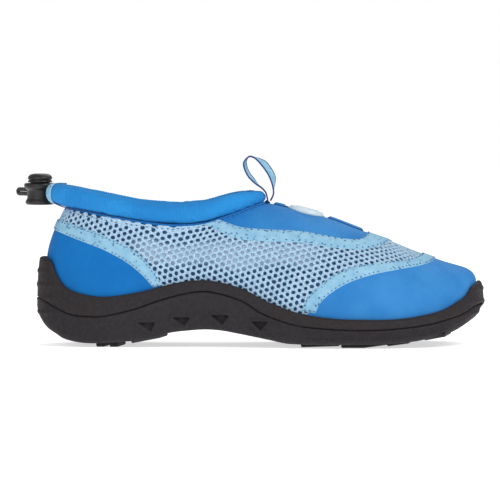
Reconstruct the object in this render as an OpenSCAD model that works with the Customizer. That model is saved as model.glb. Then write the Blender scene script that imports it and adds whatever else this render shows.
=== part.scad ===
// Slip-on water shoe, right foot, one size.
// +X points to the toe, -Y is the outer side of the foot and z = 0 is the ground.

/* [Size] */
// Length of the outsole, heel to toe
shoe_l = 250; // [230:5:280]
// Width of the sole across the ball of the foot
ball_w = 93; // [88:1:100]

/* [Upper] */
// Thickness of the neoprene and mesh panels
panel_t = 2.2; // [1.6:0.1:2.6]
// Thickness of the lining
lining_t = 1.0; // [0.6:0.1:1.2]
// Thickness of the sewn trims
trim_t = 0.8; // [0.5:0.1:1.2]
// Thickness of the padded collar, side to side
collar_t = 9.2; // [8:0.2:10]

/* [Sole] */
// Thickness of the rubber wall round the foot
wall_t = 4.2; // [3.5:0.1:4.4]
// Thickness of the foam midsole
midsole_t = 4; // [3:0.5:4]
// Thickness of the removable insole
insole_t = 3; // [2:0.5:4]
// Depth of the triangular recesses in the wall
recess_d = 1.5; // [0.5:0.1:2]

/* [Drawcord] */
// Diameter of the elastic cord
cord_d = 2.3; // [1.8:0.1:2.3]
// Travel of the cord lock button
button_travel = 1.6; // [0.8:0.1:1.6]
// Radius of the cord lock at its shoulder
lock_r = 8.9; // [8.5:0.1:9.2]

/* [Hidden] */

gap = 0.2;
lining_gap = 0.5;
kl = shoe_l / 250;
kw = ball_w / 93;
half_l = shoe_l / 2;
mid_x = 6 * kl;
feather = wall_t + 0.3;

// ---- Curves: a cubic through [place, value] knots, level beyond both ends ----

function slope(k, i) =
    let (a = max(i - 1, 0), b = min(i + 1, len(k) - 1))
    (k[b][1] - k[a][1]) / (k[b][0] - k[a][0]);
function span(k, x, i = 0) = i >= len(k) - 2 || x < k[i + 1][0] ? i : span(k, x, i + 1);
function curve(k, x0) =
    let (
        x = min(max(x0, k[0][0]), k[len(k) - 1][0]),
        i = span(k, x),
        h = k[i + 1][0] - k[i][0],
        t = (x - k[i][0]) / h,
        m0 = slope(k, i) * h,
        m1 = slope(k, i + 1) * h
    )
    (1 + 2 * t) * (1 - t) * (1 - t) * k[i][1] + t * (1 - t) * (1 - t) * m0
        + t * t * (3 - 2 * t) * k[i + 1][1] - t * t * (1 - t) * m1;
// The same curve with its knots stretched to the shoe's length
function along(k, x) = curve(k, x / kl);
function mix(a, b, t) = (1 - t) * a + t * b;
function smooth(t0) = let (t = min(max(t0, 0), 1)) t * t * (3 - 2 * t);
function unit(p) = p / norm(p);
// Even steps from a to b, both included
function steps(a, b, n) = [for (i = [0:n]) i == n ? b : a + (b - a) * i / n];
function more_steps(a, b, n) = [for (x = steps(a, b, n)) if (x > a) x];

// ---- Sole lines. Angles run 0 at the heel to 180 at the toe ----

sole_width = [[0, 60], [22, 54], [43, 46], [66, 34], [85, 32.4], [103, 43], [121, 54], [139, 61.5],
    [180, 64]];
sole_centre = [[0, 0], [43, 0], [66, -2], [85, -4], [103, -3], [121, 0], [139, 3], [156, 6], [180, 8]];
rim_line = [[0, 49.2], [12, 48.8], [16, 46.6], [19.5, 41], [25, 34.5], [31, 31], [41, 28.3], [47, 28.3],
    [57, 31], [66, 35.2], [72, 37.2], [78, 36.8], [85, 32.8], [92, 25.5], [100, 19.5], [109, 16.6],
    [118, 16], [126, 16], [134, 17.2], [146, 20.6], [154, 24.7], [160, 28], [166, 33], [180, 35.5]];
groove_line = [[0, 26.8], [10, 26.4], [16, 24.8], [24, 21.4], [32, 18], [39, 17.1], [45, 17.3],
    [55, 21],
    [64, 26.7], [72, 30.6], [77, 30.8], [85, 26], [90.5, 18.8], [99, 12.8], [108, 10.7], [117, 10.1],
    [127, 10.8], [139, 13], [146, 15.2], [155, 18.2], [164, 22], [180, 24]];
bottom_line = [[-119, 17.5], [-117.3, 14.6], [-113, 9.8], [-108, 6.8], [-104, 4.4], [-96, 2.5],
    [-87, 2], [-69, 3.1],
    [-60, 3.6], [-51, 5.4], [-45, 7.8], [-33, 9.3], [-24.6, 9.8], [-15.6, 9.2], [-6.7, 7.6], [11, 4.2],
    [22, 2.2],
    [60, 2], [87, 3.1], [105, 5.9], [114, 8.7], [123, 13.7], [127.5, 17], [131, 23]];
bed_line = [[-116, 16.5], [-106, 13.5], [-95, 12.6], [-80, 12.5], [-50, 14.5], [-25, 17.3], [0, 15],
    [25, 11.2],
    [60, 10.4], [88, 11.8], [108, 16], [118, 20], [127, 26]];

function fold(a) = abs(a) > 180 ? 360 - abs(a) : abs(a);
function rim(a) = curve(rim_line, fold(a));
function groove(a) = curve(groove_line, fold(a));
function bottom(x) = along(bottom_line, x);
function bed(x) = along(bed_line, x);
// A point on the sole's outline. Positive angles run along the outer side, negative along the
// inner side
function outline_x(a, inset) = mid_x - (half_l - inset) * cos(a);
function outline(a, inset, z) = [
    outline_x(a, inset),
    kw * curve(sole_centre, fold(a)) - (kw * curve(sole_width, fold(a)) - inset) * sin(a),
    z
];
function angle_at(x) = acos((mid_x - x) / (half_l - feather));

// ---- Skin of the upper, between the sole's rim and the collar seam or the ridge of the instep ----

top_line = [[-103.4, 76.3], [-91, 74.4], [-69, 70.3], [-51, 67.7], [-38, 67], [-25, 68.2], [-16, 70.8],
    [-6.6, 73.9],
    [2, 77], [9.4, 79], [22.3, 76.3], [31.3, 74], [43.6, 70.7], [51.4, 67.9], [60.3, 64.4], [69.3, 61],
    [78.2, 57.8],
    [87.2, 53.9], [100.6, 48.6], [109.5, 45.4], [114, 43.9]];
opening_width = [[0, 25], [60, 22.5], [120, 20], [180, 17]];
opening_centre = [[-103, 0], [-47, -2], [9.4, -2]];
ridge_side = [[9.4, -2], [60, 0], [114, 7]];
join_a = 91.5;
opening_x = -47 * kl;
opening_half = 56.4 * kl;
ridge_x0 = opening_x + opening_half;
ridge_x1 = 114 * kl;
// How fast the opening's own angle starts, against the sole's angle
lead = 0.55;

function top_z(x) = along(top_line, x);
function opening_angle(a) = let (t = fold(a) / join_a) 180 * t * (lead + (1 - lead) * t);
function opening_at(b, inset = 0) =
    let (x = opening_x - (opening_half - inset) * cos(b))
    [x, kw * along(opening_centre, x) - (kw * curve(opening_width, abs(b)) - inset) * sin(b), top_z(x)];
function ridge_at(x) = [x, kw * along(ridge_side, x), top_z(x)];
function ridge_x(a) = ridge_x0 + (ridge_x1 - ridge_x0) * sin(90 * (fold(a) - join_a) / (180 - join_a));
function ridge_angle(x) = join_a + (180 - join_a) * asin((x - ridge_x0) / (ridge_x1 - ridge_x0)) / 90;
function opening_side_angle(x) =
    let (b = acos((opening_x - x) / opening_half), q = 1 - lead)
    join_a * (sqrt(lead * lead + 4 * q * b / 180) - lead) / (2 * q);
function top_at(a) =
    fold(a) < join_a ? opening_at(sign(sin(a)) * opening_angle(a)) : ridge_at(ridge_x(a));
// The upper stands a little further inside the sole's wall round the back of the heel
heel_tuck = 1.2;
function skin(a, v) =
    let (b = outline(a, feather + heel_tuck * smooth(1 - fold(a) / 40), rim(a)))
    v < 0 ? [b.x, b.y, mix(b.z, bed(b.x) + gap, -v)] :
    let (
        t = top_at(a),
        m = smooth((fold(a) - 52) / 42),
        h = mix(pow(v, 1.5), 1 - cos(90 * v), m),
        k = mix(v, sin(90 * v), m)
    )
    [mix(b.x, t.x, h), mix(b.y, t.y, h), mix(b.z, t.z, k)];
function skin_normal(a, v) =
    v >= 1 && fold(a) >= join_a
        ? let (x = ridge_x(a)) unit([top_z(x - 1) - top_z(x + 1), 0, 2])
        : unit(cross(skin(a + 0.4, v) - skin(a - 0.4, v), skin(a, min(v + 0.01, 1)) - skin(a,
            v - 0.01)));
function skin_at(a, v, off) = skin(a, v) + off * skin_normal(a, v);
// Height on the skin, as v, at which a side-view line crosses the column at this angle
function line_v(k, a, lo = 0, hi = 1, n = 14) =
    n == 0 ? (lo + hi) / 2 :
    let (mid = (lo + hi) / 2, p = skin(a, mid))
    p.z < along(k, p.x) ? line_v(k, a, mid, hi, n - 1) : line_v(k, a, lo, mid, n - 1);
function above_ridge(k, a) = let (p = skin(a, 1)) p.z <= along(k, p.x);
function below_rim(k, a) = let (p = skin(a, 0)) p.z >= along(k, p.x);
function line_on(k, a) = below_rim(k, a) ? 0 : above_ridge(k, a) ? 1 : line_v(k, a);

// ---- Pattern lines, seen from the side ----

heel_trim_top = [[-108, 70.6], [-95.7, 66.8], [-82.3, 62.3], [-68.9, 56.1], [-60, 49.9], [-53.8, 42.7],
    [-48.4, 34], [-45, 27]];
heel_trim_low = [[-109.4, 64.4], [-95.7, 59.2], [-81.4, 53.9], [-68.9, 47.2], [-60, 40.1], [-52.9, 32],
    [-49, 26]];
toe_trim_top = [[26, 14], [28.4, 20.7], [32.3, 28.4], [39, 35.2], [48.7, 41.9], [60.2, 45.6],
    [74.6, 47.2], [89, 48.6], [96, 50.4], [102, 53]];
toe_trim_low = [[33.5, 13], [35.7, 18.3], [39, 25.1], [45.8, 31.3], [55.4, 36.6], [67.9, 40.6],
    [84.3, 43.6], [97, 45.6], [103, 47.8], [110, 52]];
throat_trim_top = [[-20, 71.5], [-12.3, 68.8], [-5.3, 66.6], [4.4, 65.6], [29.4, 64.2], [41, 62.1],
    [55.4, 59.8], [62, 60], [66, 62.4], [70, 66]];
throat_trim_low = [[-27, 69], [-18, 64.6], [-11.7, 61.6], [-5.3, 59.8], [4.4, 59], [26.5, 58.2],
    [41, 56.2], [55.4, 54.6], [65, 54.6], [71.7, 56], [77.5, 58.4], [82, 62]];

// Height of the seam hidden midway under a trim
function seam_v(top, low, a) = (line_on(top, a) + line_on(low, a)) / 2;
function heel_seam(a) = seam_v(heel_trim_top, heel_trim_low, a);
function toe_seam(a) = seam_v(toe_trim_top, toe_trim_low, a);
function throat_seam(a) = a >= throat_a1 || a <= throat_a0 ? 1
    : seam_v(throat_trim_top, throat_trim_low, a);
seam_gap = 0.005;
heel_a = angle_at(-49 * kl);
toe_a = angle_at(32 * kl);
throat_a0 = opening_side_angle(-24 * kl);
throat_a1 = ridge_angle(73 * kl);
toe_ridge_a = ridge_angle(101 * kl);

// One set of columns for every layer of the upper, with a column on each corner of the pattern
upper_stops = [[0, 0], [heel_a, 14], [throat_a0, 2], [join_a, 9], [toe_a, 4], [throat_a1, 11],
    [toe_ridge_a, 9], [180, 10]];
upper_cols = [
    0,
    for (i = [1:len(upper_stops) - 1])
        for (k = [1:upper_stops[i][1]])
            k == upper_stops[i][1] ? upper_stops[i][0] : mix(upper_stops[i - 1][0], upper_stops[i][0],
                k / upper_stops[i][1])
];
function cols_between(lo, hi) = [for (a = upper_cols) if (a >= lo && a <= hi) a];

// ---- Solids from grids of points ----

// Triangles of one sheet: an outer grid then an inner grid, each n + 1 by m + 1 points
function sheet_faces(n, m, base, flip, start, end, top) =
    let (
        g = function(i, j, layer) base + layer * (n + 1) * (m + 1) + i * (m + 1) + j,
        quad = function(a, b, c, d) flip ? [[a, c, b], [a, d, c]] : [[a, b, c], [a, c, d]]
    )
    [
        for (i = [0:n - 1], j = [0:m - 1]) each quad(g(i, j, 0), g(i, j + 1, 0), g(i + 1, j + 1, 0),
            g(i + 1, j, 0)),
        for (i = [0:n - 1], j = [0:m - 1]) each quad(g(i, j, 1), g(i + 1, j, 1), g(i + 1, j + 1, 1),
            g(i, j + 1, 1)),
        for (i = [0:n - 1]) each quad(g(i, 0, 0), g(i + 1, 0, 0), g(i + 1, 0, 1), g(i, 0, 1)),
        for (i = [0:n - 1]) if (top[i]) each quad(g(i, m, 0), g(i, m, 1), g(i + 1, m, 1),
            g(i + 1, m, 0)),
        for (j = [0:m - 1]) if (start) each quad(g(0, j, 0), g(0, j, 1), g(0, j + 1, 1),
            g(0, j + 1, 0)),
        for (j = [0:m - 1]) if (end) each quad(g(n, j, 0), g(n, j + 1, 0), g(n, j + 1, 1), g(n, j, 1))
    ];
function real_faces(points, faces) = [
    for (f = faces)
        if (norm(points[f[0]] - points[f[1]]) > 1e-7 && norm(points[f[1]] - points[f[2]]) > 1e-7
            && norm(points[f[2]] - points[f[0]]) > 1e-7) f
];
function sum(list) = list * [for (i = [1:len(list)]) 1];
function cone_volume(points, f) =
    sum([for (i = [1:len(f) - 2]) cross(points[f[0]], points[f[i]]) * points[f[i + 1]]]);
// Faces have to run clockwise seen from outside, so a solid that comes out inside out is turned
module mesh_solid(points, faces) {
    kept = real_faces(points, faces);
    volume = sum([for (f = kept) cone_volume(points, f)]);
    turned = [for (f = kept) [for (i = [len(f) - 1:-1:0]) f[i]]];
    polyhedron(points = points, faces = volume < 0 ? kept : turned, convexity = 8);
}

// Heights of a panel's rows. One that starts below the rim has a row on the rim itself
function row_v(lo, hi, j, rows) =
    j == rows ? hi :
    lo < 0 ? (j == 0 ? lo : mix(0, hi, (j - 1) / (rows - 1))) : mix(lo, hi, j / rows);
// A panel on both sides of the shoe over columns of angles, from low(a) to high(a) on the skin
module panel(cols, rows, low, high, inner, outer, start = false, end = false) {
    n = len(cols) - 1;
    side_points = function(s) [
        for (off = [outer, inner], a = cols, j = [0:rows])
            let (v0 = low(a), v1 = max(high(a), v0), on_axis = a == 0 || a == 180)
            skin_at(on_axis ? a : s * a, row_v(v0, v1, j, rows), off)
    ];
    top = [for (i = [0:n - 1]) !(cols[i] >= join_a && high(cols[i]) >= 1 && high(cols[i + 1]) >= 1)];
    half = side_points(1);
    mesh_solid(
        concat(half, side_points(-1)),
        concat(
            sheet_faces(n, rows, 0, false, start, end, top),
            sheet_faces(n, rows, len(half), true, start, end, top)
        )
    );
}

// Closed loops of points joined along a path. The path ends in caps, in a point, or meets itself
module sweep(loops, ring = false, caps = false, shift = 0) {
    n = len(loops);
    m = len(loops[0]);
    points = [for (loop = loops) each loop];
    sides = [
        for (i = [0:ring ? n - 1 : n - 2], j = [0:m - 1])
            let (
                last = i == n - 1,
                k = last ? 0 : i + 1,
                s = last ? shift : 0,
                a = i * m + j,
                b = i * m + (j + 1) % m,
                c = k * m + (j + 1 + s) % m,
                d = k * m + (j + s) % m
            )
            each [[a, b, c], [a, c, d]]
    ];
    ends = caps ? [[for (j = [m - 1:-1:0]) j], [for (j = [0:m - 1]) (n - 1) * m + j]] : [];
    mesh_solid(points, concat(sides, ends));
}

// A flat-sided slab inside the sole, from lo(x) to hi(x), set in from the outline
module slab(inset, lo, hi) {
    cols = steps(0, 180, 36);
    sweep([
        for (a = cols)
            let (p = outline(a, inset, 0), q = outline(-a, inset, 0))
            [[p.x, p.y, hi(p.x)], [p.x, p.y, lo(p.x)], [q.x, q.y, lo(q.x)], [q.x, q.y, hi(q.x)]]
    ]);
}

// ---- Sole ----

// Recesses: left corner, right corner, height of the top edge, apex, height of the apex
recesses = [[-61.9, -53.1, 13.6, -55.6, 9.4], [-42.5, -34, 16.5, -36.8, 12.6],
    [-21.2, -12.3, 17.8, -15.7, 13.4], [1.4, 9.1, 14.4, 5.6, 10.3]];
// Treads: the underside of each in side view, from back to front
lugs = [
    [[-85.5, 0], [-81, 0]],
    [[-78, 0], [-73.5, 0]],
    [[-66, 2], [-50, 4.9]],
    [[28.2, 0.2], [49, 0.8]],
    [[50.5, 0], [63, 0], [76, 1.7]],
    [[76, 0.9], [88, 2.4]],
    [[96.8, 3.8], [108.4, 5.8]]
];
lug_bend = 4;
lug_inset = 9;
lug_root = 1.5;

module recess(r, side) {
    wall_y = outline(side * angle_at((r[0] + r[1]) / 2 * kl), 0, 0).y;
    translate([0, wall_y + side * (recess_d - 8), 0])
        rotate([90, 0, 0])
            linear_extrude(16, center = true)
                polygon([[r[0] * kl, r[2]], [r[1] * kl, r[2]], [r[3] * kl, r[4]]]);
}

// A tread across the sole, bent forward in the middle like a chevron
module lug(line) {
    a = angle_at(line[0].x * kl);
    station = function(t)
        let (
            y = mix(outline(a, lug_inset, 0).y, outline(-a, lug_inset, 0).y, t),
            bend = lug_bend * (1 - abs(2 * t - 1)),
            root = function(x, z) max(bottom(x), z) + lug_root
        )
        [
            for (k = line) [k.x * kl + bend, y, k.y],
            for (i = [len(line) - 1:-1:0])
                let (x = line[i].x * kl + bend)
                [x, y, root(x, line[i].y)]
        ];
    sweep([for (t = [0, 0.5, 1]) station(t)], caps = true);
}

module outsole_body() {
    edge = function(a, inset, lift) let (x = outline_x(a, inset)) outline(a, inset, bottom(x) + lift);
    side_wall = function(a) [
        outline(a, wall_t, groove(a) - 0.1),
        outline(a, 0.9, groove(a) - 0.1),
        outline(a, 0.2, groove(a) - 1),
        outline(a, 0, mix(groove(a), bottom(outline_x(a, 0)), 0.5)),
        edge(a, 0.3, 3.2),
        edge(a, 1.4, 1.4),
        edge(a, 3, 0.4),
        edge(a, 5.5, 0)
    ];
    sweep([
        for (a = steps(0, 180, 54))
            let (l = side_wall(a), r = side_wall(-a), n = len(l), x = outline_x(a, wall_t))
            concat(
                l,
                [for (i = [n - 1:-1:0]) r[i]],
                [outline(-a, wall_t, bed(x) - midsole_t), outline(a, wall_t, bed(x) - midsole_t)]
            )
    ]);
}

module outsole() {
    color("#3a3c44")
        difference() {
            union() {
                outsole_body();
                for (line = lugs) lug(line);
            }
            for (r = recesses, side = [1, -1]) recess(r, side);
        }
}

module rand() {
    color("#34363f")
        sweep([
            for (i = [-54:53])
                let (a = i * 180 / 54, lo = groove(a) + 0.1, hi = rim(a))
                [
                    outline(a, wall_t, lo),
                    outline(a, wall_t, hi - 0.4),
                    outline(a, 2.6, hi),
                    outline(a, 1.6, hi - 0.7),
                    outline(a, 0.6, mix(lo, hi, 0.6)),
                    outline(a, 0.2, lo + 1.2),
                    outline(a, 0.9, lo)
                ]
        ], ring = true);
}

module midsole() {
    color("#d8d8d0")
        slab(feather, function(x) bed(x) - midsole_t + gap, function(x) bed(x));
}

lining_out = -panel_t - lining_gap;
board_inset = feather + 1.38 * (lining_t - lining_out) + gap;
board_t = 1.2;
module insole_board() {
    color("#b8b4a8")
        slab(board_inset, function(x) bed(x) + gap, function(x) bed(x) + gap + board_t);
}

module insole() {
    lift = board_t + 2 * gap;
    color("#4a4d55")
        slab(board_inset, function(x) bed(x) + lift, function(x) bed(x) + lift + insole_t);
}

// ---- Upper ----

module lining() {
    color("#b9c9dc")
        panel(upper_cols, 7, function(a) -1, function(a) 1, lining_out - lining_t, lining_out);
}

module heel_panel() {
    color("#1f86dc")
        panel(cols_between(0, heel_a), 6,
            function(a) -1, function(a) max(heel_seam(a) - seam_gap, 0), -panel_t, 0, end = true);
}

function mesh_low(a) =
    a <= heel_a ? heel_seam(a) + seam_gap :
    a < toe_a ? -1 :
    a < toe_ridge_a ? min(toe_seam(a) + seam_gap, 1) : 1;
function mesh_high(a) =
    let (v = throat_seam(a)) v >= 1 ? 1 : v - seam_gap;
module mesh_panel() {
    color("#8fb3dc")
        panel(cols_between(0, toe_ridge_a), 7,
            function(a) mesh_low(a), function(a) mesh_high(a), -panel_t, 0);
}

module toe_panel() {
    color("#1f86dc")
        panel(cols_between(toe_a, 180), 7,
            function(a) -1, function(a) a >= toe_ridge_a ? 1 : min(max(toe_seam(a) - seam_gap, 0), 1),
            -panel_t, 0, start = true);
}

module instep_panel() {
    color("#1f86dc")
        panel(cols_between(throat_a0, throat_a1), 5,
            function(a) min(throat_seam(a) + seam_gap, 1), function(a) 1, -panel_t, 0);
}

// A sewn strip between two side-view lines, lying on the panels. Its ends are open walls or meet
// on the ridge
trim_lift = 0.3;
trim_foot = 0.02;
trim_least = 0.015;
module trim(cols, rows, top, low, start = true, end = true) {
    last = cols[len(cols) - 1];
    foot = function(a) !end && a >= last ? 1 : min(max(line_on(low, a), trim_foot), 1 - trim_least);
    color("#62b5ea")
        panel(cols, rows, foot, function(a) max(line_on(top, a), min(foot(a) + trim_least, 1)),
            trim_lift, trim_lift + trim_t, start, end);
}
module heel_trim() {
    trim(steps(0, angle_at(-48 * kl), 32), 2, heel_trim_top, heel_trim_low, start = false);
}
module toe_trim() {
    trim(steps(angle_at(28.5 * kl), ridge_angle(103.5 * kl), 36), 4, toe_trim_top, toe_trim_low,
        end = false);
}
module throat_trim() {
    steep_a = ridge_angle(56 * kl);
    cols = concat(steps(throat_a0 - 1.5, steep_a, 20), more_steps(steep_a, ridge_angle(79 * kl), 16));
    trim(cols, 4, throat_trim_top, throat_trim_low, end = false);
}

// A point on the instep: x along the ridge, d across it, off above the skin
function instep_at(x, d, off) =
    let (a = ridge_angle(x), b = outline(a, feather, 0), t = ridge_at(x))
    skin_at(d > 0 ? -a : a, 1 - abs(d) / (abs(b.y - t.y) * PI / 2), off);

welt_w = 3.4;
module welt(x0, x1) {
    ds = steps(-welt_w / 2, welt_w / 2, 4);
    lane = function(x) concat(
        [for (d = ds) instep_at(x, d, gap + 0.2 + 1.1 * (1 - pow(2 * d / welt_w, 2)))],
        [for (i = [4:-1:0]) instep_at(x, ds[i], gap)]
    );
    sweep([for (x = steps(x0, x1, 8)) lane(x)], caps = true);
}
module instep_welt() {
    color("#1a78c8") {
        welt(13.5 * kl, 20 * kl);
        welt(43.5 * kl, 63 * kl);
    }
}

badge_x = 31.6 * kl;
badge_l = 19.4;
badge_w = 14;
module instep_badge() {
    ring_at = function(r, top) [
        for (f = [0:15:345])
            instep_at(badge_x + badge_l / 2 * r * cos(f), badge_w / 2 * r * sin(f),
                top ? gap + 0.8 + 0.9 * sqrt(1 - r * r) : gap)
    ];
    color("#b9dbe6")
        sweep([for (r = [0.001, 0.5, 1]) ring_at(r, false),
            for (r = [1, 0.9, 0.7, 0.4, 0.001]) ring_at(r, true)],
            caps = true);
}

// ---- Collar and drawcord ----

collar_top_line = [[-114, 88.8], [-104, 90.4], [-87, 87.4], [-69, 83.5], [-60, 81.8], [-42, 80.6],
    [-25, 81.8], [-15.6, 84.4], [-6.7, 86.6], [2, 87], [9.4, 86]];
spout = 8.4;
spout_w = 12;
collar_inset = 3.2;
function collar_path(b) =
    let (p = opening_at(b, collar_inset + 1.6 * smooth((abs(b) - 130) / 50)))
    [p.x - spout * exp(-pow(p.y / spout_w, 2)) * (abs(b) < 90 ? 1 : 0), p.y, 0];
function collar_out(b) = unit(cross(collar_path(b + 0.5) - collar_path(b - 0.5), [0, 0, 1]));
function collar_low(x) = top_z(x) + gap + 0.1 + 3.6 * smooth((-102 * kl - x) / 10);
function collar_point(b, t, skin_t) =
    let (
        p = collar_path(b),
        n = collar_out(b),
        lo = collar_low(p.x),
        hi = along(collar_top_line, p.x),
        rx = collar_t / 2 * (1 - 0.12 * smooth((abs(b) - 130) / 50)) - skin_t,
        rz = (hi - lo) / 2 - skin_t
    )
    [p.x + n.x * rx * cos(t), p.y + n.y * rx * cos(t), (hi + lo) / 2 + rz * sin(t)];
collar_skin = 1.3;
// The cord leaves the tunnel at this collar angle, through a slit this wide
exit_b = -11;
slit_b = 10;
collar_steps = concat(
    steps(exit_b + slit_b / 2, 40, 11), more_steps(40, 140, 10), more_steps(140, 220, 12),
    more_steps(220, 320, 10), more_steps(320, 360 + exit_b - slit_b / 2, 7)
);
function signed(b) = b > 180 ? b - 360 : b;

module collar() {
    cuts = steps(-68, 248, 14);
    n = len(collar_steps) - 1;
    m = len(cuts) - 1;
    points = [
        for (wall = [0, collar_skin], b = collar_steps, t = cuts) collar_point(signed(b), t, wall)
    ];
    color("#1c80d8")
        mesh_solid(points, sheet_faces(n, m, 0, false, true, true, [for (i = [0:n - 1]) true]));
}

module collar_foam() {
    inside = collar_skin + gap;
    upper = function(b, t)
        let (p = collar_point(b, t, inside), mid = collar_point(b, 0, inside))
        [p.x, p.y, max(p.z, mid.z - 0.45)];
    color("#e8e4d0")
        sweep([
            for (b = steps(28, 308, 54))
                [for (t = [345:-30:-15]) upper(signed(b), t)]
        ], caps = true);
}

lock_dir = 137;
lock_axis = [cos(lock_dir), sin(lock_dir), 0];
cord_z = 84.7;
exit_at = collar_path(exit_b);
lock_reach = 14.8;
lock_at = exit_at + lock_reach * lock_axis;
tail_end = lock_reach + lock_r + 7.1;
strand_gap = 0.1;
strand_z = (cord_d + strand_gap) / 2;
turn_r = 2.4;

// One side of the cord inside the collar, from the front round to the exit, where it turns outwards
function cord_inside(side) = [
    for (b = steps(side * 180, exit_b + side * 8, 26))
        let (
            p = collar_path(b),
            far = smooth((abs(b - exit_b) - 8) / 30),
            lo = collar_low(p.x),
            hi = along(collar_top_line, p.x),
            rest_z = (lo + hi) / 2 - min(2.9, (hi - lo - cord_d) / 2 - collar_skin - 0.15)
        )
        [p.x, p.y, mix(cord_z + side * strand_z, rest_z, far)],
    for (f = [0:30:60])
        let (lead_in = side * [sin(lock_dir), -cos(lock_dir), 0])
        exit_at + turn_r * ((sin(f) - 1) * lead_in + (1 - cos(f)) * lock_axis)
        + [0, 0, cord_z + side * strand_z]
];
function cord_tail(side, u) = exit_at + u * lock_axis + [0, 0, cord_z + side * strand_z];

module drawcord() {
    sides = 8;
    turn = [for (f = [0:30:180]) [cord_tail(0, tail_end) + strand_z * (sin(f) * lock_axis
        + cos(f) * [0, 0, -1])]];
    inner_run = cord_inside(-1);
    outer_run = cord_inside(1);
    out = [for (u = steps(turn_r, tail_end - 3, 6)) cord_tail(-1, u)];
    back = [for (u = steps(tail_end - 3, turn_r, 6)) cord_tail(1, u)];
    path = concat(
        inner_run, out, [for (p = turn) p[0]], back,
        [for (i = [len(outer_run) - 1:-1:1]) outer_run[i]]
    );
    n = len(path);
    k = len(inner_run) + len(out);
    last = k + len(turn);
    plain_side = function(i) unit(cross(path[(i + 1) % n] - path[(i + n - 1) % n], [0, 0, 1]));
    side_at = function(i) i >= k && i < last ? cross(lock_axis, [0, 0, 1]) : i >= last
        ? -plain_side(i) : plain_side(i);
    color("#20222a")
        sweep([
            for (i = [0:n - 1])
                let (
                    t = unit(path[(i + 1) % n] - path[(i + n - 1) % n]),
                    s0 = side_at(i),
                    u = unit(cross(s0, t)),
                    s = cross(t, u)
                )
                [for (j = [0:sides - 1]) path[i] + cord_d / 2 * (s * cos(360 * j / sides)
                    + u * sin(360 * j / sides))]
        ], ring = true, shift = sides / 2);
}

// A curved patch sewn over the slit, with a hole for the two strands
patch_side = 60;
module cord_exit_patch() {
    bs = steps(exit_b - 12, 13, 12);
    ts = steps(-patch_side, patch_side, 8);
    hole_w = cord_d + 1;
    hole_h = 4 * strand_z + 0.8;
    color("#7cc3ec")
        difference() {
            mesh_solid(
                [for (off = [-0.8, -0.3], b = bs, t = ts) collar_point(b, t, off)],
                sheet_faces(len(bs) - 1, len(ts) - 1, 0, false, true, true, [for (b = bs) true])
            );
            translate([exit_at.x, exit_at.y, cord_z - hole_h / 2])
                rotate([0, 0, lock_dir])
                    translate([0, -hole_w / 2, 0])
                        cube([20, hole_w, hole_h]);
        }
}

// ---- Cord lock ----

lock_z0 = 77.7;
barrel_top = 89.7;
bore_r = 5.4;
head_r = 6.9;
slot_w = cord_d + 0.5;
slot_lo = cord_z - 2 * strand_z - 0.25;
slot_hi = cord_z + 2 * strand_z + 0.25;
floor_z = lock_z0 + 1.2;
plunger_z = slot_lo - 0.7;

module lock_slot(lo, hi) {
    rotate([0, 0, lock_dir])
        translate([0, 0, (lo + hi) / 2])
            cube([30, slot_w, hi - lo], center = true);
}

module cord_lock_barrel() {
    color("#1d1b1e")
        translate(lock_at)
            difference() {
                rotate_extrude($fn = 64)
                    polygon([
                        [0, lock_z0], [7.4, lock_z0], [8.1, lock_z0 + 0.7], [8.1, lock_z0 + 2],
                        [7.2, lock_z0 + 3.4],
                        [7.2, barrel_top - 4], [lock_r, barrel_top - 2.4], [lock_r, barrel_top - 0.6],
                        [lock_r - 0.6, barrel_top], [head_r + 0.4, barrel_top],
                        [head_r + 0.4, barrel_top - 2.6],
                        [bore_r + 0.25, barrel_top - 2.6], [bore_r + 0.25, floor_z], [0, floor_z]
                    ]);
                lock_slot(slot_lo, slot_hi);
            }
}

module cord_lock_button() {
    color("#242226")
        translate(lock_at)
            difference() {
                rotate_extrude($fn = 64)
                    polygon([
                        [0, plunger_z], [bore_r, plunger_z], [bore_r, barrel_top + 0.5],
                        [head_r, barrel_top + 0.5],
                        [head_r, 91], [head_r - 0.7, 91.3], [head_r - 0.7, 91.7], [head_r, 92],
                        [head_r - 0.2, 93.4],
                        [head_r - 1.4, 94.5], [head_r - 3.2, 95], [0, 95]
                    ]);
                lock_slot(slot_lo, slot_hi + button_travel);
            }
}

module cord_lock_spring() {
    turns = 1.8;
    wire = 0.55;
    h = plunger_z - floor_z - wire - 0.1;
    n = 44;
    centre = function(f) [
        (4.4 - 1.5 * f) * cos(360 * turns * f),
        (4.4 - 1.5 * f) * sin(360 * turns * f),
        floor_z + 0.05 + wire / 2 + h * f
    ];
    color("#9a9da3")
        translate(lock_at)
            sweep([
                for (i = [0:n])
                    let (f = i / n, c = centre(f), t = unit(centre(f + 0.01) - centre(f - 0.01)),
                        s = unit(cross(t, [0, 0, 1])), u = cross(s, t))
                    [for (q = [0:60:300]) c + wire / 2 * (cos(q) * s - sin(q) * u)]
            ], caps = true);
}

// ---- Pull loop ----

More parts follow.
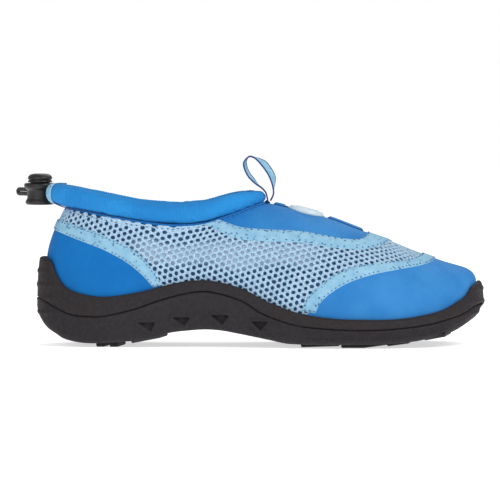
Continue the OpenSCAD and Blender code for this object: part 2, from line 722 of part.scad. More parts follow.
// Centre line of the ribbon from its rear foot over the top to its front foot, as [x, z]
loop_line = [[9.9, 80.2], [9.5, 82.6], [8.7, 85.1], [6.4, 87.7], [2.7, 90.3], [-0.9, 94], [-3.1, 98.4],
    [-3.4, 102], [-0.6, 105],
    [2.6, 104.3], [6.2, 100.7], [9.7, 95.9], [11.9, 91.2], [13, 86.9], [13, 83.8], [11.4, 80.4]];
loop_w = 5.6;
loop_t = 0.7;
function spline(k, t) =
    let (
        n = len(k) - 1,
        i = min(floor(t), n - 1),
        f = t - i,
        a = k[max(i - 1, 0)],
        b = k[i],
        c = k[i + 1],
        d = k[min(i + 2, n)]
    )
    0.5 * (2 * b + (c - a) * f + (2 * a - 5 * b + 4 * c - d) * f * f
        + (3 * b - 3 * c + d - a) * f * f * f);
module pull_loop() {
    n = len(loop_line) - 1;
    mid = [for (t = [0:0.34:n]) spline(loop_line, t)];
    m = len(mid) - 1;
    side = [for (i = [0:m]) let (t = unit(mid[min(i + 1, m)] - mid[max(i - 1, 0)])) [-t.y, t.x]];
    color("#6cb8ea")
        translate([0, -1.6, 0])
            rotate([90, 0, 0])
                linear_extrude(loop_w, center = true)
                    polygon(concat(
                        [for (i = [0:m]) [mid[i].x + (kl - 1) * 9.4, mid[i].y] + loop_t / 2 * side[i]],
                        [for (i = [m:-1:0]) [mid[i].x + (kl - 1) * 9.4,
                            mid[i].y] - loop_t / 2 * side[i]]
                    ));
}

outsole();
rand();
midsole();
insole_board();
insole();
lining();
mesh_panel();
heel_panel();
toe_panel();
instep_panel();
heel_trim();
toe_trim();
throat_trim();
instep_welt();
instep_badge();
collar();
collar_foam();
cord_exit_patch();
drawcord();
cord_lock_barrel();
cord_lock_button();
cord_lock_spring();
pull_loop();
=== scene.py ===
"""Looks of a slip-on water shoe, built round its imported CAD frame. Lengths here are millimetres."""
import math

import bmesh
import bpy
import numpy as np
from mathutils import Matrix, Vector
from mathutils.bvhtree import BVHTree


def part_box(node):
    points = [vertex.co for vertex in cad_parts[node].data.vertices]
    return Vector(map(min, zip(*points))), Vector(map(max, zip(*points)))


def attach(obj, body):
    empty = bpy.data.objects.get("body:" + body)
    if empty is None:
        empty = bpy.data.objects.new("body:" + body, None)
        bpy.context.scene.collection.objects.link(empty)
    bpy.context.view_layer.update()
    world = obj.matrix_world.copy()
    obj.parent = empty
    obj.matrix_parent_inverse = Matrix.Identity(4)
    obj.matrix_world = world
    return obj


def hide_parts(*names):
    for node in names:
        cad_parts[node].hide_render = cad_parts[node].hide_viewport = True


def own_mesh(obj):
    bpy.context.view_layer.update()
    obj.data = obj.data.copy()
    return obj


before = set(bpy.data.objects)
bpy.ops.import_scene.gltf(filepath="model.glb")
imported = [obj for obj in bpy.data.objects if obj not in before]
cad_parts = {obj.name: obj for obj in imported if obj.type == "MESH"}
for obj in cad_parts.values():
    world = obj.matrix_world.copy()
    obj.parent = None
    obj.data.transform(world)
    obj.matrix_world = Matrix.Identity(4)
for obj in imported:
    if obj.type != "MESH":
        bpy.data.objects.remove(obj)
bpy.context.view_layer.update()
MM = 0.001

# ---- curves

def curve(knots, x):
    """Cubic through [place, value] knots, level beyond both ends."""
    kx, kv = np.array(knots, float).T
    last = len(kx) - 1
    lo = np.maximum(np.arange(last + 1) - 1, 0)
    hi = np.minimum(np.arange(last + 1) + 1, last)
    m = (kv[hi] - kv[lo]) / (kx[hi] - kx[lo])
    x = np.clip(x, kx[0], kx[-1])
    i = np.clip(np.searchsorted(kx, x, side="right") - 1, 0, last - 1)
    h = kx[i + 1] - kx[i]
    t = (x - kx[i]) / h
    return ((1 + 2 * t) * (1 - t) ** 2 * kv[i] + t * (1 - t) ** 2 * m[i] * h
            + t * t * (3 - 2 * t) * kv[i + 1] - t * t * (1 - t) * m[i + 1] * h)


def mix(a, b, t):
    return (1 - t) * a + t * b


def smooth(t):
    t = np.clip(t, 0, 1)
    return t * t * (3 - 2 * t)


def unit(p):
    return p / np.maximum(np.linalg.norm(p, axis=-1, keepdims=True), 1e-12)


def arc_length(points):
    """Distance along a line at each of its points."""
    return np.concatenate([[0], np.linalg.norm(np.diff(points, axis=0), axis=1).cumsum()])


def sind(a):
    """Sine of degrees, exactly 0 at the half turns, so that the two sides of the shoe meet."""
    a = np.asarray(a, float)
    return np.where(np.isclose(np.mod(a, 180), 0), 0.0, np.sin(np.radians(a)))


def cosd(a):
    return np.cos(np.radians(a))


# ---- sole lines, 0 at the heel to 180 at the toe

low_corner, high_corner = (np.array(c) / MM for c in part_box("outsole"))
HALF_L = (high_corner[0] - low_corner[0]) / 2
MID_X = (high_corner[0] + low_corner[0]) / 2
WALL_T = 4.2
FEATHER = WALL_T + 0.3

SOLE_WIDTH = [[0, 60], [22, 54], [43, 46], [66, 34], [85, 32.4], [103, 43], [121, 54], [139, 61.5], [180, 64]]
SOLE_CENTRE = [[0, 0], [43, 0], [66, -2], [85, -4], [103, -3], [121, 0], [139, 3], [156, 6], [180, 8]]
RIM = [[0, 49.2], [12, 48.8], [16, 46.6], [19.5, 41], [25, 34.5], [31, 31], [41, 28.3], [47, 28.3],
       [57, 31], [66, 35.2], [72, 37.2], [78, 36.8], [85, 32.8], [92, 25.5], [100, 19.5], [109, 16.6],
       [118, 16], [126, 16], [134, 17.2], [146, 20.6], [154, 24.7], [160, 28], [166, 33], [180, 35.5]]
GROOVE = [[0, 26.8], [10, 26.4], [16, 24.8], [24, 21.4], [32, 18], [39, 17.1], [45, 17.3], [55, 21],
          [64, 26.7], [72, 30.6], [77, 30.8], [85, 26], [90.5, 18.8], [99, 12.8], [108, 10.7],
          [117, 10.1], [127, 10.8], [139, 13], [146, 15.2], [155, 18.2], [164, 22], [180, 24]]
BOTTOM = [[-119, 17.5], [-117.3, 14.6], [-113, 9.8], [-108, 6.8], [-104, 4.4], [-96, 2.5], [-87, 2],
          [-69, 3.1], [-60, 3.6], [-51, 5.4], [-45, 7.8], [-33, 9.3], [-24.6, 9.8], [-15.6, 9.2],
          [-6.7, 7.6], [11, 4.2], [22, 2.2], [60, 2], [87, 3.1], [105, 5.9], [114, 8.7], [123, 13.7],
          [127.5, 17], [131, 23]]
BED = [[-116, 16.5], [-106, 13.5], [-95, 12.6], [-80, 12.5], [-50, 14.5], [-25, 17.3], [0, 15],
       [25, 11.2], [60, 10.4], [88, 11.8], [108, 16], [118, 20], [127, 26]]


def fold(a):
    a = np.abs(a)
    return np.where(a > 180, 360 - a, a)


def outline(a, inset, z=0.0):
    """A point on the sole's outline: positive angles along the outer side, negative along the inner."""
    a = np.asarray(a, float)
    x = MID_X - (HALF_L - inset) * cosd(a)
    y = curve(SOLE_CENTRE, fold(a)) - (curve(SOLE_WIDTH, fold(a)) - inset) * sind(a)
    return np.stack(np.broadcast_arrays(x, y, z), -1)


def angle_at(x):
    return math.degrees(math.acos((MID_X - x) / (HALF_L - FEATHER)))


# ---- skin of the upper

TOP = [[-103.4, 76.3], [-91, 74.4], [-69, 70.3], [-51, 67.7], [-38, 67], [-25, 68.2], [-16, 70.8],
       [-6.6, 73.9], [2, 77], [9.4, 79], [22.3, 76.3], [31.3, 74], [43.6, 70.7], [51.4, 67.9],
       [60.3, 64.4], [69.3, 61], [78.2, 57.8], [87.2, 53.9], [100.6, 48.6], [109.5, 45.4], [114, 43.9]]
OPENING_WIDTH = [[0, 25], [60, 22.5], [120, 20], [180, 17]]
OPENING_CENTRE = [[-103, 0], [-47, -2], [9.4, -2]]
RIDGE_SIDE = [[9.4, -2], [60, 0], [114, 7]]
JOIN_A = 91.5
OPENING_X, OPENING_HALF = -47.0, 56.4
RIDGE_X0, RIDGE_X1 = OPENING_X + OPENING_HALF, 114.0
LEAD = 0.55
HEEL_TUCK = 1.2


def opening_at(b, inset=0.0):
    x = OPENING_X - (OPENING_HALF - inset) * cosd(b)
    y = curve(OPENING_CENTRE, x) - (curve(OPENING_WIDTH, np.abs(b)) - inset) * sind(b)
    return np.stack([x, y, curve(TOP, x)], -1)


def ridge_x(a):
    return RIDGE_X0 + (RIDGE_X1 - RIDGE_X0) * np.sin(np.radians(90 * (fold(a) - JOIN_A) / (180 - JOIN_A)))


def ridge_angle(x):
    t = np.clip((x - RIDGE_X0) / (RIDGE_X1 - RIDGE_X0), 0, 1)
    return JOIN_A + (180 - JOIN_A) * np.degrees(np.arcsin(t)) / 90


def opening_side_angle(x):
    b = math.degrees(math.acos((OPENING_X - x) / OPENING_HALF))
    q = 1 - LEAD
    return JOIN_A * (math.sqrt(LEAD * LEAD + 4 * q * b / 180) - LEAD) / (2 * q)


def top_at(a):
    a = np.asarray(a, float)
    t = fold(a) / JOIN_A
    side = opening_at(np.sign(sind(a)) * np.minimum(180 * t * (LEAD + (1 - LEAD) * t), 180))
    x = ridge_x(np.maximum(fold(a), JOIN_A))
    ridge = np.stack([x, curve(RIDGE_SIDE, x), curve(TOP, x)], -1)
    return np.where((fold(a) < JOIN_A)[..., None], side, ridge)


def skin(a, v):
    """The upper's outer surface: v is 0 at the sole's rim, 1 at the collar or ridge, -1 at the bed."""
    a, v = np.broadcast_arrays(np.asarray(a, float), np.asarray(v, float))
    b = outline(a, FEATHER + HEEL_TUCK * smooth(1 - fold(a) / 40), curve(RIM, fold(a)))
    t = top_at(a)
    m = smooth((fold(a) - 52) / 42)
    up = np.clip(v, 0, 1)
    h = mix(up ** 1.5, 1 - np.cos(np.radians(90 * up)), m)
    k = mix(up, np.sin(np.radians(90 * up)), m)
    h = np.where(up >= 1, 1.0, h)
    k = np.where(up >= 1, 1.0, k)
    p = np.stack([mix(b[..., 0], t[..., 0], h), mix(b[..., 1], t[..., 1], h), mix(b[..., 2], t[..., 2], k)],
                 -1)
    down = np.clip(-v, 0, 1)
    p[..., 2] = mix(p[..., 2], curve(BED, b[..., 0]) + 0.2, down)
    return p


def skin_normal(a, v):
    a, v = np.broadcast_arrays(np.asarray(a, float), np.asarray(v, float))
    n = unit(np.cross(skin(a + 0.3, v) - skin(a - 0.3, v),
                      skin(a, np.minimum(v + 0.01, 1)) - skin(a, v - 0.01)))
    x = ridge_x(np.maximum(fold(a), JOIN_A))
    crest = unit(np.stack([curve(TOP, x - 1) - curve(TOP, x + 1), 0 * x, 2 + 0 * x], -1))
    near = smooth((v - 0.9) / 0.1) * (fold(a) >= JOIN_A)
    return unit(mix(n, crest, near[..., None]))


def skin_at(a, v, off):
    return skin(a, v) + np.asarray(off)[..., None] * skin_normal(a, v)


def line_on(knots, a):
    """Height on the skin, as v, where a side-view line crosses the columns at these angles."""
    a = np.atleast_1d(np.asarray(a, float))
    lo, hi = np.zeros_like(a), np.ones_like(a)

    def above(v):
        p = skin(a, v)
        return p[..., 2] >= curve(knots, p[..., 0])

    start, end = above(lo), ~above(hi)
    for _ in range(18):
        mid = (lo + hi) / 2
        over = above(mid)
        hi, lo = np.where(over, mid, hi), np.where(over, lo, mid)
    return np.where(start, 0.0, np.where(end, 1.0, (lo + hi) / 2))


HEEL_TOP = [[-108, 70.6], [-95.7, 66.8], [-82.3, 62.3], [-68.9, 56.1], [-60, 49.9], [-53.8, 42.7],
            [-48.4, 34], [-45, 27]]
HEEL_LOW = [[-109.4, 64.4], [-95.7, 59.2], [-81.4, 53.9], [-68.9, 47.2], [-60, 40.1], [-52.9, 32], [-49, 26]]
TOE_TOP = [[26, 14], [28.4, 20.7], [32.3, 28.4], [39, 35.2], [48.7, 41.9], [60.2, 45.6], [74.6, 47.2],
           [89, 48.6],
           [96, 50.4], [102, 53]]
TOE_LOW = [[33.5, 13], [35.7, 18.3], [39, 25.1], [45.8, 31.3], [55.4, 36.6], [67.9, 40.6], [84.3, 43.6],
           [97, 45.6],
           [103, 47.8], [110, 52]]
THROAT_TOP = [[-20, 71.5], [-12.3, 68.8], [-5.3, 66.6], [4.4, 65.6], [29.4, 64.2], [41, 62.1], [55.4, 59.8],
              [62, 60],
              [66, 62.4], [70, 66]]
THROAT_LOW = [[-27, 69], [-18, 64.6], [-11.7, 61.6], [-5.3, 59.8], [4.4, 59], [26.5, 58.2], [41, 56.2],
              [55.4, 54.6],
              [65, 54.6], [71.7, 56], [77.5, 58.4], [82, 62]]
HEEL_A = angle_at(-49)
TOE_A = angle_at(32)
THROAT_A0 = opening_side_angle(-24)
THROAT_A1 = float(ridge_angle(73))
TOE_RIDGE_A = float(ridge_angle(101))


def seam(top, low, a):
    return (line_on(top, a) + line_on(low, a)) / 2


# ---- mesh building

def srgb(r, g, b):
    """Linear colour from 0-255 screen values."""
    c = np.array([r, g, b]) / 255
    return tuple(np.where(c <= 0.04045, c / 12.92, ((c + 0.055) / 1.055) ** 2.4)) + (1.0,)


def add_object(name, data):
    obj = bpy.data.objects.new(name, data)
    bpy.context.scene.collection.objects.link(obj)
    return obj


def evaluated_mesh(obj):
    """A new mesh of the object as its modifiers leave it."""
    return bpy.data.meshes.new_from_object(obj.evaluated_get(bpy.context.evaluated_depsgraph_get()))


def mesh_of(name, points, faces):
    """A Blender mesh from points in millimetres."""
    mesh = bpy.data.meshes.new(name)
    mesh.from_pydata((np.asarray(points, float).reshape(-1, 3) * MM).tolist(), [], faces)
    return mesh


def make(name, shape, material, body="root", stands_for=(), sharp=40, values=None):
    """One piece from (points, faces). values maps attribute names to one number a point."""
    points, faces = shape
    mesh = mesh_of(name, points, [tuple(map(int, f)) for f in faces])
    for key, numbers in (values or {}).items():
        layer = mesh.attributes.new(key, "FLOAT", "POINT")
        layer.data.foreach_set("value", np.asarray(numbers, np.float32).ravel())
    bm = bmesh.new()
    bm.from_mesh(mesh)
    bmesh.ops.remove_doubles(bm, verts=bm.verts, dist=2e-6)
    bmesh.ops.dissolve_degenerate(bm, edges=bm.edges, dist=1e-6)
    bmesh.ops.recalc_face_normals(bm, faces=bm.faces)
    bm.to_mesh(mesh)
    bm.free()
    mesh.shade_smooth()
    mesh.set_sharp_from_angle(angle=math.radians(sharp))
    obj = add_object(name, mesh)
    mesh.materials.append(material)
    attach(obj, body)
    if stands_for:
        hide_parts(*stands_for)
    return obj


def pairs(a, b):
    """Every pairing of the two lists, as two grids with a along their rows."""
    return np.meshgrid(a, b, indexing="ij")


def circle(sides):
    """Even angles round a circle, in radians."""
    return np.radians(np.arange(sides) * 360 / sides)


def grid_faces(n, m, ring_n=False, ring_m=False):
    """Quads of an n by m grid of points, closed along either way."""
    i, j = pairs(np.arange(n if ring_n else n - 1), np.arange(m if ring_m else m - 1))
    i, j = i.ravel(), j.ravel()
    k, l = (i + 1) % n, (j + 1) % m
    return np.stack([i * m + j, i * m + l, k * m + l, k * m + j], -1)


def surface(g, ring_n=False, ring_m=False):
    """The shape of a single grid of points."""
    return g, grid_faces(g.shape[0], g.shape[1], ring_n, ring_m)


class Build:
    """Collects grids and loose solids into one list of points and faces."""

    def __init__(self):
        self.points, self.faces, self.count = [], [], 0

    def add(self, points, faces):
        points = np.asarray(points, float).reshape(-1, 3)
        self.faces.extend((np.asarray(faces) + self.count).tolist())
        self.points.append(points)
        self.count += len(points)

    def grid(self, g, ring_n=False, ring_m=False):
        self.add(*surface(g, ring_n, ring_m))

    def all(self):
        return np.concatenate(self.points), self.faces


def walls(build, outer, inner, edges):
    """Strips that join the edges of two grids. Each edge is an index into a grid."""
    for edge in edges:
        build.grid(np.stack([outer[edge], inner[edge]], 1))


def sheet(outer, inner):
    """The shape of a closed sheet between two grids."""
    build = Build()
    build.grid(outer)
    build.grid(inner)
    walls(build, outer, inner, (np.s_[:, 0], 0, -1, np.s_[:, -1]))
    return build.all()


def panel(cols, rows, low, high, inner, outer, lift=None):
    """A panel on both sides of the shoe, as points and faces, between v = low and v = high of each column."""
    cols = np.asarray(cols, float)
    t = np.linspace(0, 1, rows + 1)
    lo = low(cols)
    hi = np.maximum(high(cols), lo)
    v = mix(lo[:, None], hi[:, None], t[None])
    joined = (cols >= JOIN_A) & (hi >= 1 - 1e-9)
    build = Build()
    for s in (1, -1):
        a = np.where((cols == 0) | (cols == 180), cols, s * cols)[:, None] + 0 * v
        top = np.full(v.shape, float(outer))
        if lift is not None:
            top = top + lift(v, t[None] + 0 * v)
        o, i = skin_at(a, v, top), skin_at(a, v, np.full(v.shape, float(inner)))
        build.grid(o)
        build.grid(i)
        ends = ([] if cols[0] == 0 else [0]) + ([] if cols[-1] == 180 or hi[-1] - lo[-1] < 1e-6 else [-1])
        walls(build, o, i, [np.s_[:, 0]] + ends)
        faces = [f for f in grid_faces(len(cols), 2) if not (joined[f[0] // 2] and joined[f[3] // 2])]
        if faces:
            build.add(np.stack([o[:, -1], i[:, -1]], 1), faces)
    return build.all()


def tube(path, radius, sides=12, closed=False):
    """A round tube along a path, with frames carried along so that it doesn't twist."""
    path = np.asarray(path, float)
    n = len(path)
    t = unit(np.roll(path, -1, 0) - np.roll(path, 1, 0)) if closed else unit(np.gradient(path, axis=0))
    u = np.cross(t[0], [0, 0, 1.0])
    if np.linalg.norm(u) < 1e-3:
        u = np.cross(t[0], [0, 1.0, 0])
    frames = []
    for k in range(n):
        u = unit(u - np.dot(u, t[k]) * t[k])
        frames.append(u)
    u = np.array(frames)
    w = np.cross(t, u)
    f = circle(sides)
    g = path[:, None] + radius * (np.cos(f)[None, :, None] * u[:, None] + np.sin(f)[None, :, None]
                                  * w[:, None])
    points = g.reshape(-1, 3)
    faces = grid_faces(n, sides, closed, True).tolist()
    if not closed:
        faces += [list(range(sides)), list(range((n - 1) * sides, n * sides))]
    return points, faces


def capsules(centres, dirs, normals, length, width, height):
    """Short raised threads: one flattened capsule at each centre, along dirs, standing off normals."""
    rings, sides = 7, 8
    s = np.linspace(-1, 1, rings)
    r = np.sqrt(np.maximum(1 - s ** 4, 0.0))
    f = circle(sides)
    build = Build()
    for c, d, n in zip(centres, unit(dirs), unit(normals)):
        side = np.cross(n, d)
        across = np.cos(f)[None, :, None] * side * width / 2
        up = np.sin(f)[None, :, None] * n * height / 2
        g = c + s[:, None, None] * d * length / 2 + r[:, None, None] * (across + up)
        build.grid(g, ring_m=True)
    return build.all()


# ---- materials

class Nodes:
    """Short forms for wiring a procedural material."""

    def __init__(self, name):
        self.mat = bpy.data.materials.new(name)
        self.mat.use_nodes = True
        self.tree = self.mat.node_tree
        self.bsdf = self.tree.nodes["Principled BSDF"]
        self.place = self.tree.nodes.new("ShaderNodeTexCoord").outputs["Object"]

    def node(self, kind, settings=None, **inputs):
        n = self.tree.nodes.new(kind)
        for key, value in (settings or {}).items():
            setattr(n, key, value)
        for key, value in inputs.items():
            self.put(n.inputs[key.replace("_", " ")], value)
        return n

    def put(self, socket, value):
        if isinstance(value, bpy.types.NodeSocket):
            self.tree.links.new(value, socket)
        else:
            socket.default_value = value

    def noise(self, scale, detail=2.0, stretch=(1, 1, 1)):
        at = self.node("ShaderNodeMapping", Vector=self.place, Scale=stretch).outputs["Vector"]
        return self.node("ShaderNodeTexNoise", Vector=at, Scale=scale, Detail=detail).outputs["Fac"]

    def ramp(self, value, low, high, out_low=0.0, out_high=1.0):
        n = self.node("ShaderNodeMapRange", Value=value)
        n.interpolation_type = "SMOOTHSTEP"
        for key, number in zip(("From Min", "From Max", "To Min", "To Max"), (low, high, out_low, out_high)):
            n.inputs[key].default_value = number
        return n.outputs["Result"]

    def patchy(self, scale, detail, low, high, out_low=0.0, out_high=1.0):
        return self.ramp(self.noise(scale, detail), low, high, out_low, out_high)

    def math(self, op, a, b=0.0):
        n = self.tree.nodes.new("ShaderNodeMath")
        n.operation = op
        self.put(n.inputs[0], a)
        self.put(n.inputs[1], b)
        return n.outputs[0]

    def blend(self, factor, a, b):
        n = self.tree.nodes.new("ShaderNodeMix")
        n.data_type = "RGBA"
        self.put(n.inputs[0], factor)
        self.put(n.inputs[6], a)
        self.put(n.inputs[7], b)
        return n.outputs[2]

    def tint(self, color, amount, share, other):
        return self.blend(self.math("MULTIPLY", amount, share), color, other)

    def attribute(self, name):
        return self.node("ShaderNodeAttribute", {"attribute_name": name}).outputs["Fac"]

    def xyz(self):
        return self.node("ShaderNodeSeparateXYZ", Vector=self.place).outputs

    def finish(self, color, rough, bumps=(), sheen=0.0, coat=0.0, specular=0.5):
        """bumps are (height socket, depth in millimetres) pairs."""
        self.put(self.bsdf.inputs["Base Color"], color)
        self.put(self.bsdf.inputs["Roughness"], rough)
        self.bsdf.inputs["Sheen Weight"].default_value = sheen
        self.bsdf.inputs["Coat Weight"].default_value = coat
        self.bsdf.inputs["Specular IOR Level"].default_value = specular
        normal = None
        for height, depth in bumps:
            b = self.node("ShaderNodeBump", Height=height, Distance=depth * MM)
            b.inputs["Strength"].default_value = 1.0
            if normal is not None:
                self.put(b.inputs["Normal"], normal)
            normal = b.outputs["Normal"]
        if normal is not None:
            self.put(self.bsdf.inputs["Normal"], normal)
        return self.mat


def knit_height(m, pitch):
    """Fine diagonal knit: two crossed sets of ribs."""
    x, y, z = m.xyz()[:3]
    k = 2 * math.pi / (pitch * MM)
    first = m.math("SINE", m.math("MULTIPLY", m.math("ADD", x, z), k))
    second = m.math("SINE", m.math("MULTIPLY", m.math("SUBTRACT", m.math("ADD", x, y), z), k))
    return m.math("MULTIPLY", first, second)


def neoprene(name, base, deep):
    m = Nodes(name)
    patches = m.patchy(28, 3, 0.35, 0.7)
    grain = m.patchy(1900, 2, 0.35, 0.75)
    # Painted light: the blue is drawn lighter toward the toe, as if the light fell more strongly on the front
    # of the shoe.
    lit_toward_toe = m.ramp(m.xyz()[0], -0.045, 0.035)
    color = m.tint(base, lit_toward_toe, 0.4, srgb(92, 164, 222))
    color = m.blend(m.math("MULTIPLY", patches, 0.5), color, m.tint(deep, lit_toward_toe, 0.4, base))
    color = m.tint(color, grain, 0.18, deep)
    return m.finish(color, m.patchy(300, 2, 0.3, 0.7, 0.62, 0.8),
                    [(m.noise(60, 2), 0.25), (knit_height(m, 0.9), 0.035), (m.noise(2200, 2), 0.06)],
                    sheen=0.02, specular=0.15)


def ribbed_neoprene(name, base, deep):
    """Collar cloth: fine ribs across the roll, from the arc length stored on its points."""
    m = Nodes(name)
    along = m.attribute("along")
    wander = m.math("MULTIPLY", m.noise(90, 2), 3.0)
    ribs = m.math("SINE", m.math("ADD", m.math("MULTIPLY", along, 2 * math.pi / 1.15), wander))
    patches = m.patchy(35, 3, 0.35, 0.7)
    color = m.tint(base, patches, 0.5, deep)
    color = m.blend(m.ramp(ribs, 0.2, 1.0, 0.0, 0.35), color, deep)
    return m.finish(color, 0.72, [(ribs, 0.05), (m.noise(2200, 2), 0.05)], sheen=0.02, specular=0.15)


def speckled_cloth(name, base, dark, share):
    m = Nodes(name)
    fleck = m.patchy(1500, 2, 0.5, 0.72)
    tone = m.patchy(60, 3, 0.3, 0.7)
    color = m.tint(base, fleck, share, dark)
    color = m.tint(color, tone, 0.18, dark)
    return m.finish(color, 0.85, [(m.noise(1500, 3), 0.12), (m.noise(220, 2), 0.15)], sheen=0.05,
                    specular=0.15)


def trim_cloth():
    m = Nodes("trim_cloth")
    base, deep, navy = srgb(146, 190, 214), srgb(112, 164, 196), srgb(46, 86, 130)
    tone = m.patchy(180, 3, 0.3, 0.7)
    color = m.tint(base, tone, 0.55, deep)
    cells = m.node("ShaderNodeTexVoronoi", Vector=m.place, Scale=420.0)
    dots = m.ramp(cells.outputs["Distance"], 0.2, 0.34, 1.0, 0.0)
    rare = m.math("GREATER_THAN", m.noise(350, 1), 0.5)
    color = m.blend(m.math("MULTIPLY", m.math("MULTIPLY", dots, rare), 0.75), color, navy)
    return m.finish(color, 0.8, [(m.noise(1300, 3), 0.14), (m.noise(150, 2), 0.2)], sheen=0.05, specular=0.15)


def air_mesh():
    m = Nodes("air_mesh")
    pale, mid, deep = srgb(182, 210, 230), srgb(138, 174, 202), srgb(86, 122, 160)
    threads = m.noise(1700, 3)
    color = m.blend(m.ramp(threads, 0.35, 0.65), pale, mid)
    color = m.blend(m.patchy(900, 2, 0.56, 0.72, 0.0, 0.65), color, deep)
    return m.finish(color, 0.8, [(threads, 0.3), (m.noise(700, 2), 0.25)], sheen=0.05, specular=0.15)


def backing_shade_and_light():
    """What is seen through the mesh: painted shade, navy near the edges where the inside of the shoe lies in
    shadow, and painted light, pale in the middle of the side.
    """
    m = Nodes("backing_shade_and_light")
    x, y, z = m.xyz()[:3]
    wave = m.math("MULTIPLY", m.math("SUBTRACT", m.noise(45, 1), 0.5), 0.012)
    height = m.math("ADD", z, wave)
    along = m.math("ADD", x, m.math("MULTIPLY", wave, 2.0))
    # Mask of the pale middle of the side, painted as lit lining; outside it the backing is painted navy
    # shade.
    inside = m.math("MULTIPLY", m.ramp(height, 0.043, 0.049), m.ramp(height, 0.056, 0.061, 1.0, 0.0))
    inside = m.math("MULTIPLY", inside, m.ramp(along, -0.072, -0.058))
    inside = m.math("MULTIPLY", inside, m.ramp(along, 0.03, 0.046, 1.0, 0.0))
    color = m.blend(inside, srgb(44, 76, 120), srgb(186, 204, 226))
    color = m.blend(m.patchy(1500, 2, 0.45, 0.7, 0.0, 0.3), color, srgb(120, 140, 176))
    return m.finish(color, 0.9, [(m.noise(1500, 2), 0.1)])


def rubber(name, base, warm):
    m = Nodes(name)
    patches = m.patchy(22, 4, 0.42, 0.68)
    grain = m.noise(2600, 2)
    color = m.tint(base, patches, 0.5, warm)
    # Painted highlights: lighter grey speckles laid over the rubber's grain.
    color = m.blend(m.ramp(grain, 0.62, 0.78, 0.0, 0.25), color, srgb(120, 116, 118))
    return m.finish(color, m.patchy(400, 2, 0.3, 0.7, 0.72 - 0.08, 0.72 + 0.1),
                    [(grain, 0.05), (m.noise(120, 3), 0.12)], specular=0.25)


def plain(name, base, rough, dark, scale=900, depth=0.03, coat=0.0, share=0.2):
    m = Nodes(name)
    color = m.blend(m.patchy(scale, 2, 0.4, 0.7, 0.0, share), base, dark)
    return m.finish(color, m.patchy(scale / 3, 2, 0.3, 0.7, rough - 0.05, rough + 0.07),
                    [(m.noise(scale, 2), depth)], coat=coat)


def cord_cloth():
    m = Nodes("cord_cloth")
    # Painted shade: the cord is drawn darker in the hollows of its braid than on its crests.
    return m.finish(m.blend(m.ramp(knit_height(m, 1.1), -0.4, 0.8), srgb(16, 15, 18), srgb(58, 56, 62)), 0.6,
                    [(knit_height(m, 1.1), 0.12)], sheen=0.1)


def steel():
    m = Nodes("spring_steel")
    m.bsdf.inputs["Metallic"].default_value = 1.0
    return m.finish(srgb(170, 172, 176), m.patchy(900, 2, 0.3, 0.7, 0.25, 0.4), [(m.noise(1500, 1), 0.01)])


BLUE = neoprene("blue_neoprene", srgb(12, 112, 184), srgb(6, 92, 164))
COLLAR_BLUE = ribbed_neoprene("collar_neoprene", srgb(40, 138, 206), srgb(22, 110, 182))
TRIM = trim_cloth()
MESH = air_mesh()
BACKING = backing_shade_and_light()
LINING = speckled_cloth("lining_cloth", srgb(188, 204, 224), srgb(120, 140, 172), 0.35)
RUBBER = rubber("sole_rubber", srgb(40, 36, 41), srgb(36, 31, 33))
RAND_RUBBER = rubber("rand_rubber", srgb(38, 35, 39), srgb(42, 34, 34))
NAVY = plain("navy_thread", srgb(30, 62, 122), 0.7, dark=srgb(12, 28, 70), share=0.5)
PALE = plain("pale_thread", srgb(176, 226, 246), 0.75, dark=srgb(110, 180, 220), share=0.4)
INSOLE = speckled_cloth("insole_cloth", srgb(70, 74, 84), srgb(34, 36, 44), 0.6)
FOAM = plain("foam", srgb(226, 226, 220), 0.85, scale=1400, depth=0.08, dark=srgb(180, 180, 172))
BOARD = plain("board", srgb(190, 184, 168), 0.85, scale=700, dark=srgb(150, 142, 124))
LOCK = plain("lock_plastic", srgb(22, 17, 17), 0.35, scale=500, depth=0.015, share=0.3, dark=srgb(20, 16, 16))
BADGE = plain("badge_plastic", srgb(200, 212, 220), 0.45, scale=600, depth=0.02, coat=0.1,
              dark=srgb(150, 200, 212))
BADGE_RIM = plain("badge_rim", srgb(140, 176, 196), 0.5, scale=600, depth=0.02, dark=srgb(120, 160, 178))
CORD = cord_cloth()
STEEL = steel()

# ---- upper panels

STOPS = [0, HEEL_A, THROAT_A0, JOIN_A, TOE_A, THROAT_A1, TOE_RIDGE_A, 180]


def columns(lo, hi, step):
    """Even columns between each pair of pattern corners, so that neighbouring panels share their seams."""
    out = [lo]
    for a, b in zip(STOPS[:-1], STOPS[1:]):
        a, b = max(a, lo), min(b, hi)
        if b - a > 1e-6:
            n = max(1, round((b - a) / step))
            out.extend(a + (b - a) * np.arange(1, n + 1) / n)
    return np.array(out)


def heel_seam(a):
    return seam(HEEL_TOP, HEEL_LOW, a)


def toe_seam(a):
    return seam(TOE_TOP, TOE_LOW, a)


def throat_seam(a):
    return np.where((a >= THROAT_A1 - 1e-9) | (a <= THROAT_A0 + 1e-9), 1.0, seam(THROAT_TOP, THROAT_LOW, a))


def below_rim(a):
    return np.full(np.shape(a), -0.2)


def ones(a):
    return np.ones(np.shape(a))


PANEL_T, BACKING_AT = 2.2, -1.3
LINING_T, LINING_AT = 1.0, -2.7

make("heel_panel_skin", panel(columns(0, HEEL_A, 0.9), 26, below_rim, heel_seam, -PANEL_T, 0), BLUE,
     stands_for=["heel_panel"])


def toe_top(a):
    return np.where(a >= TOE_RIDGE_A - 1e-9, 1.0, toe_seam(a))


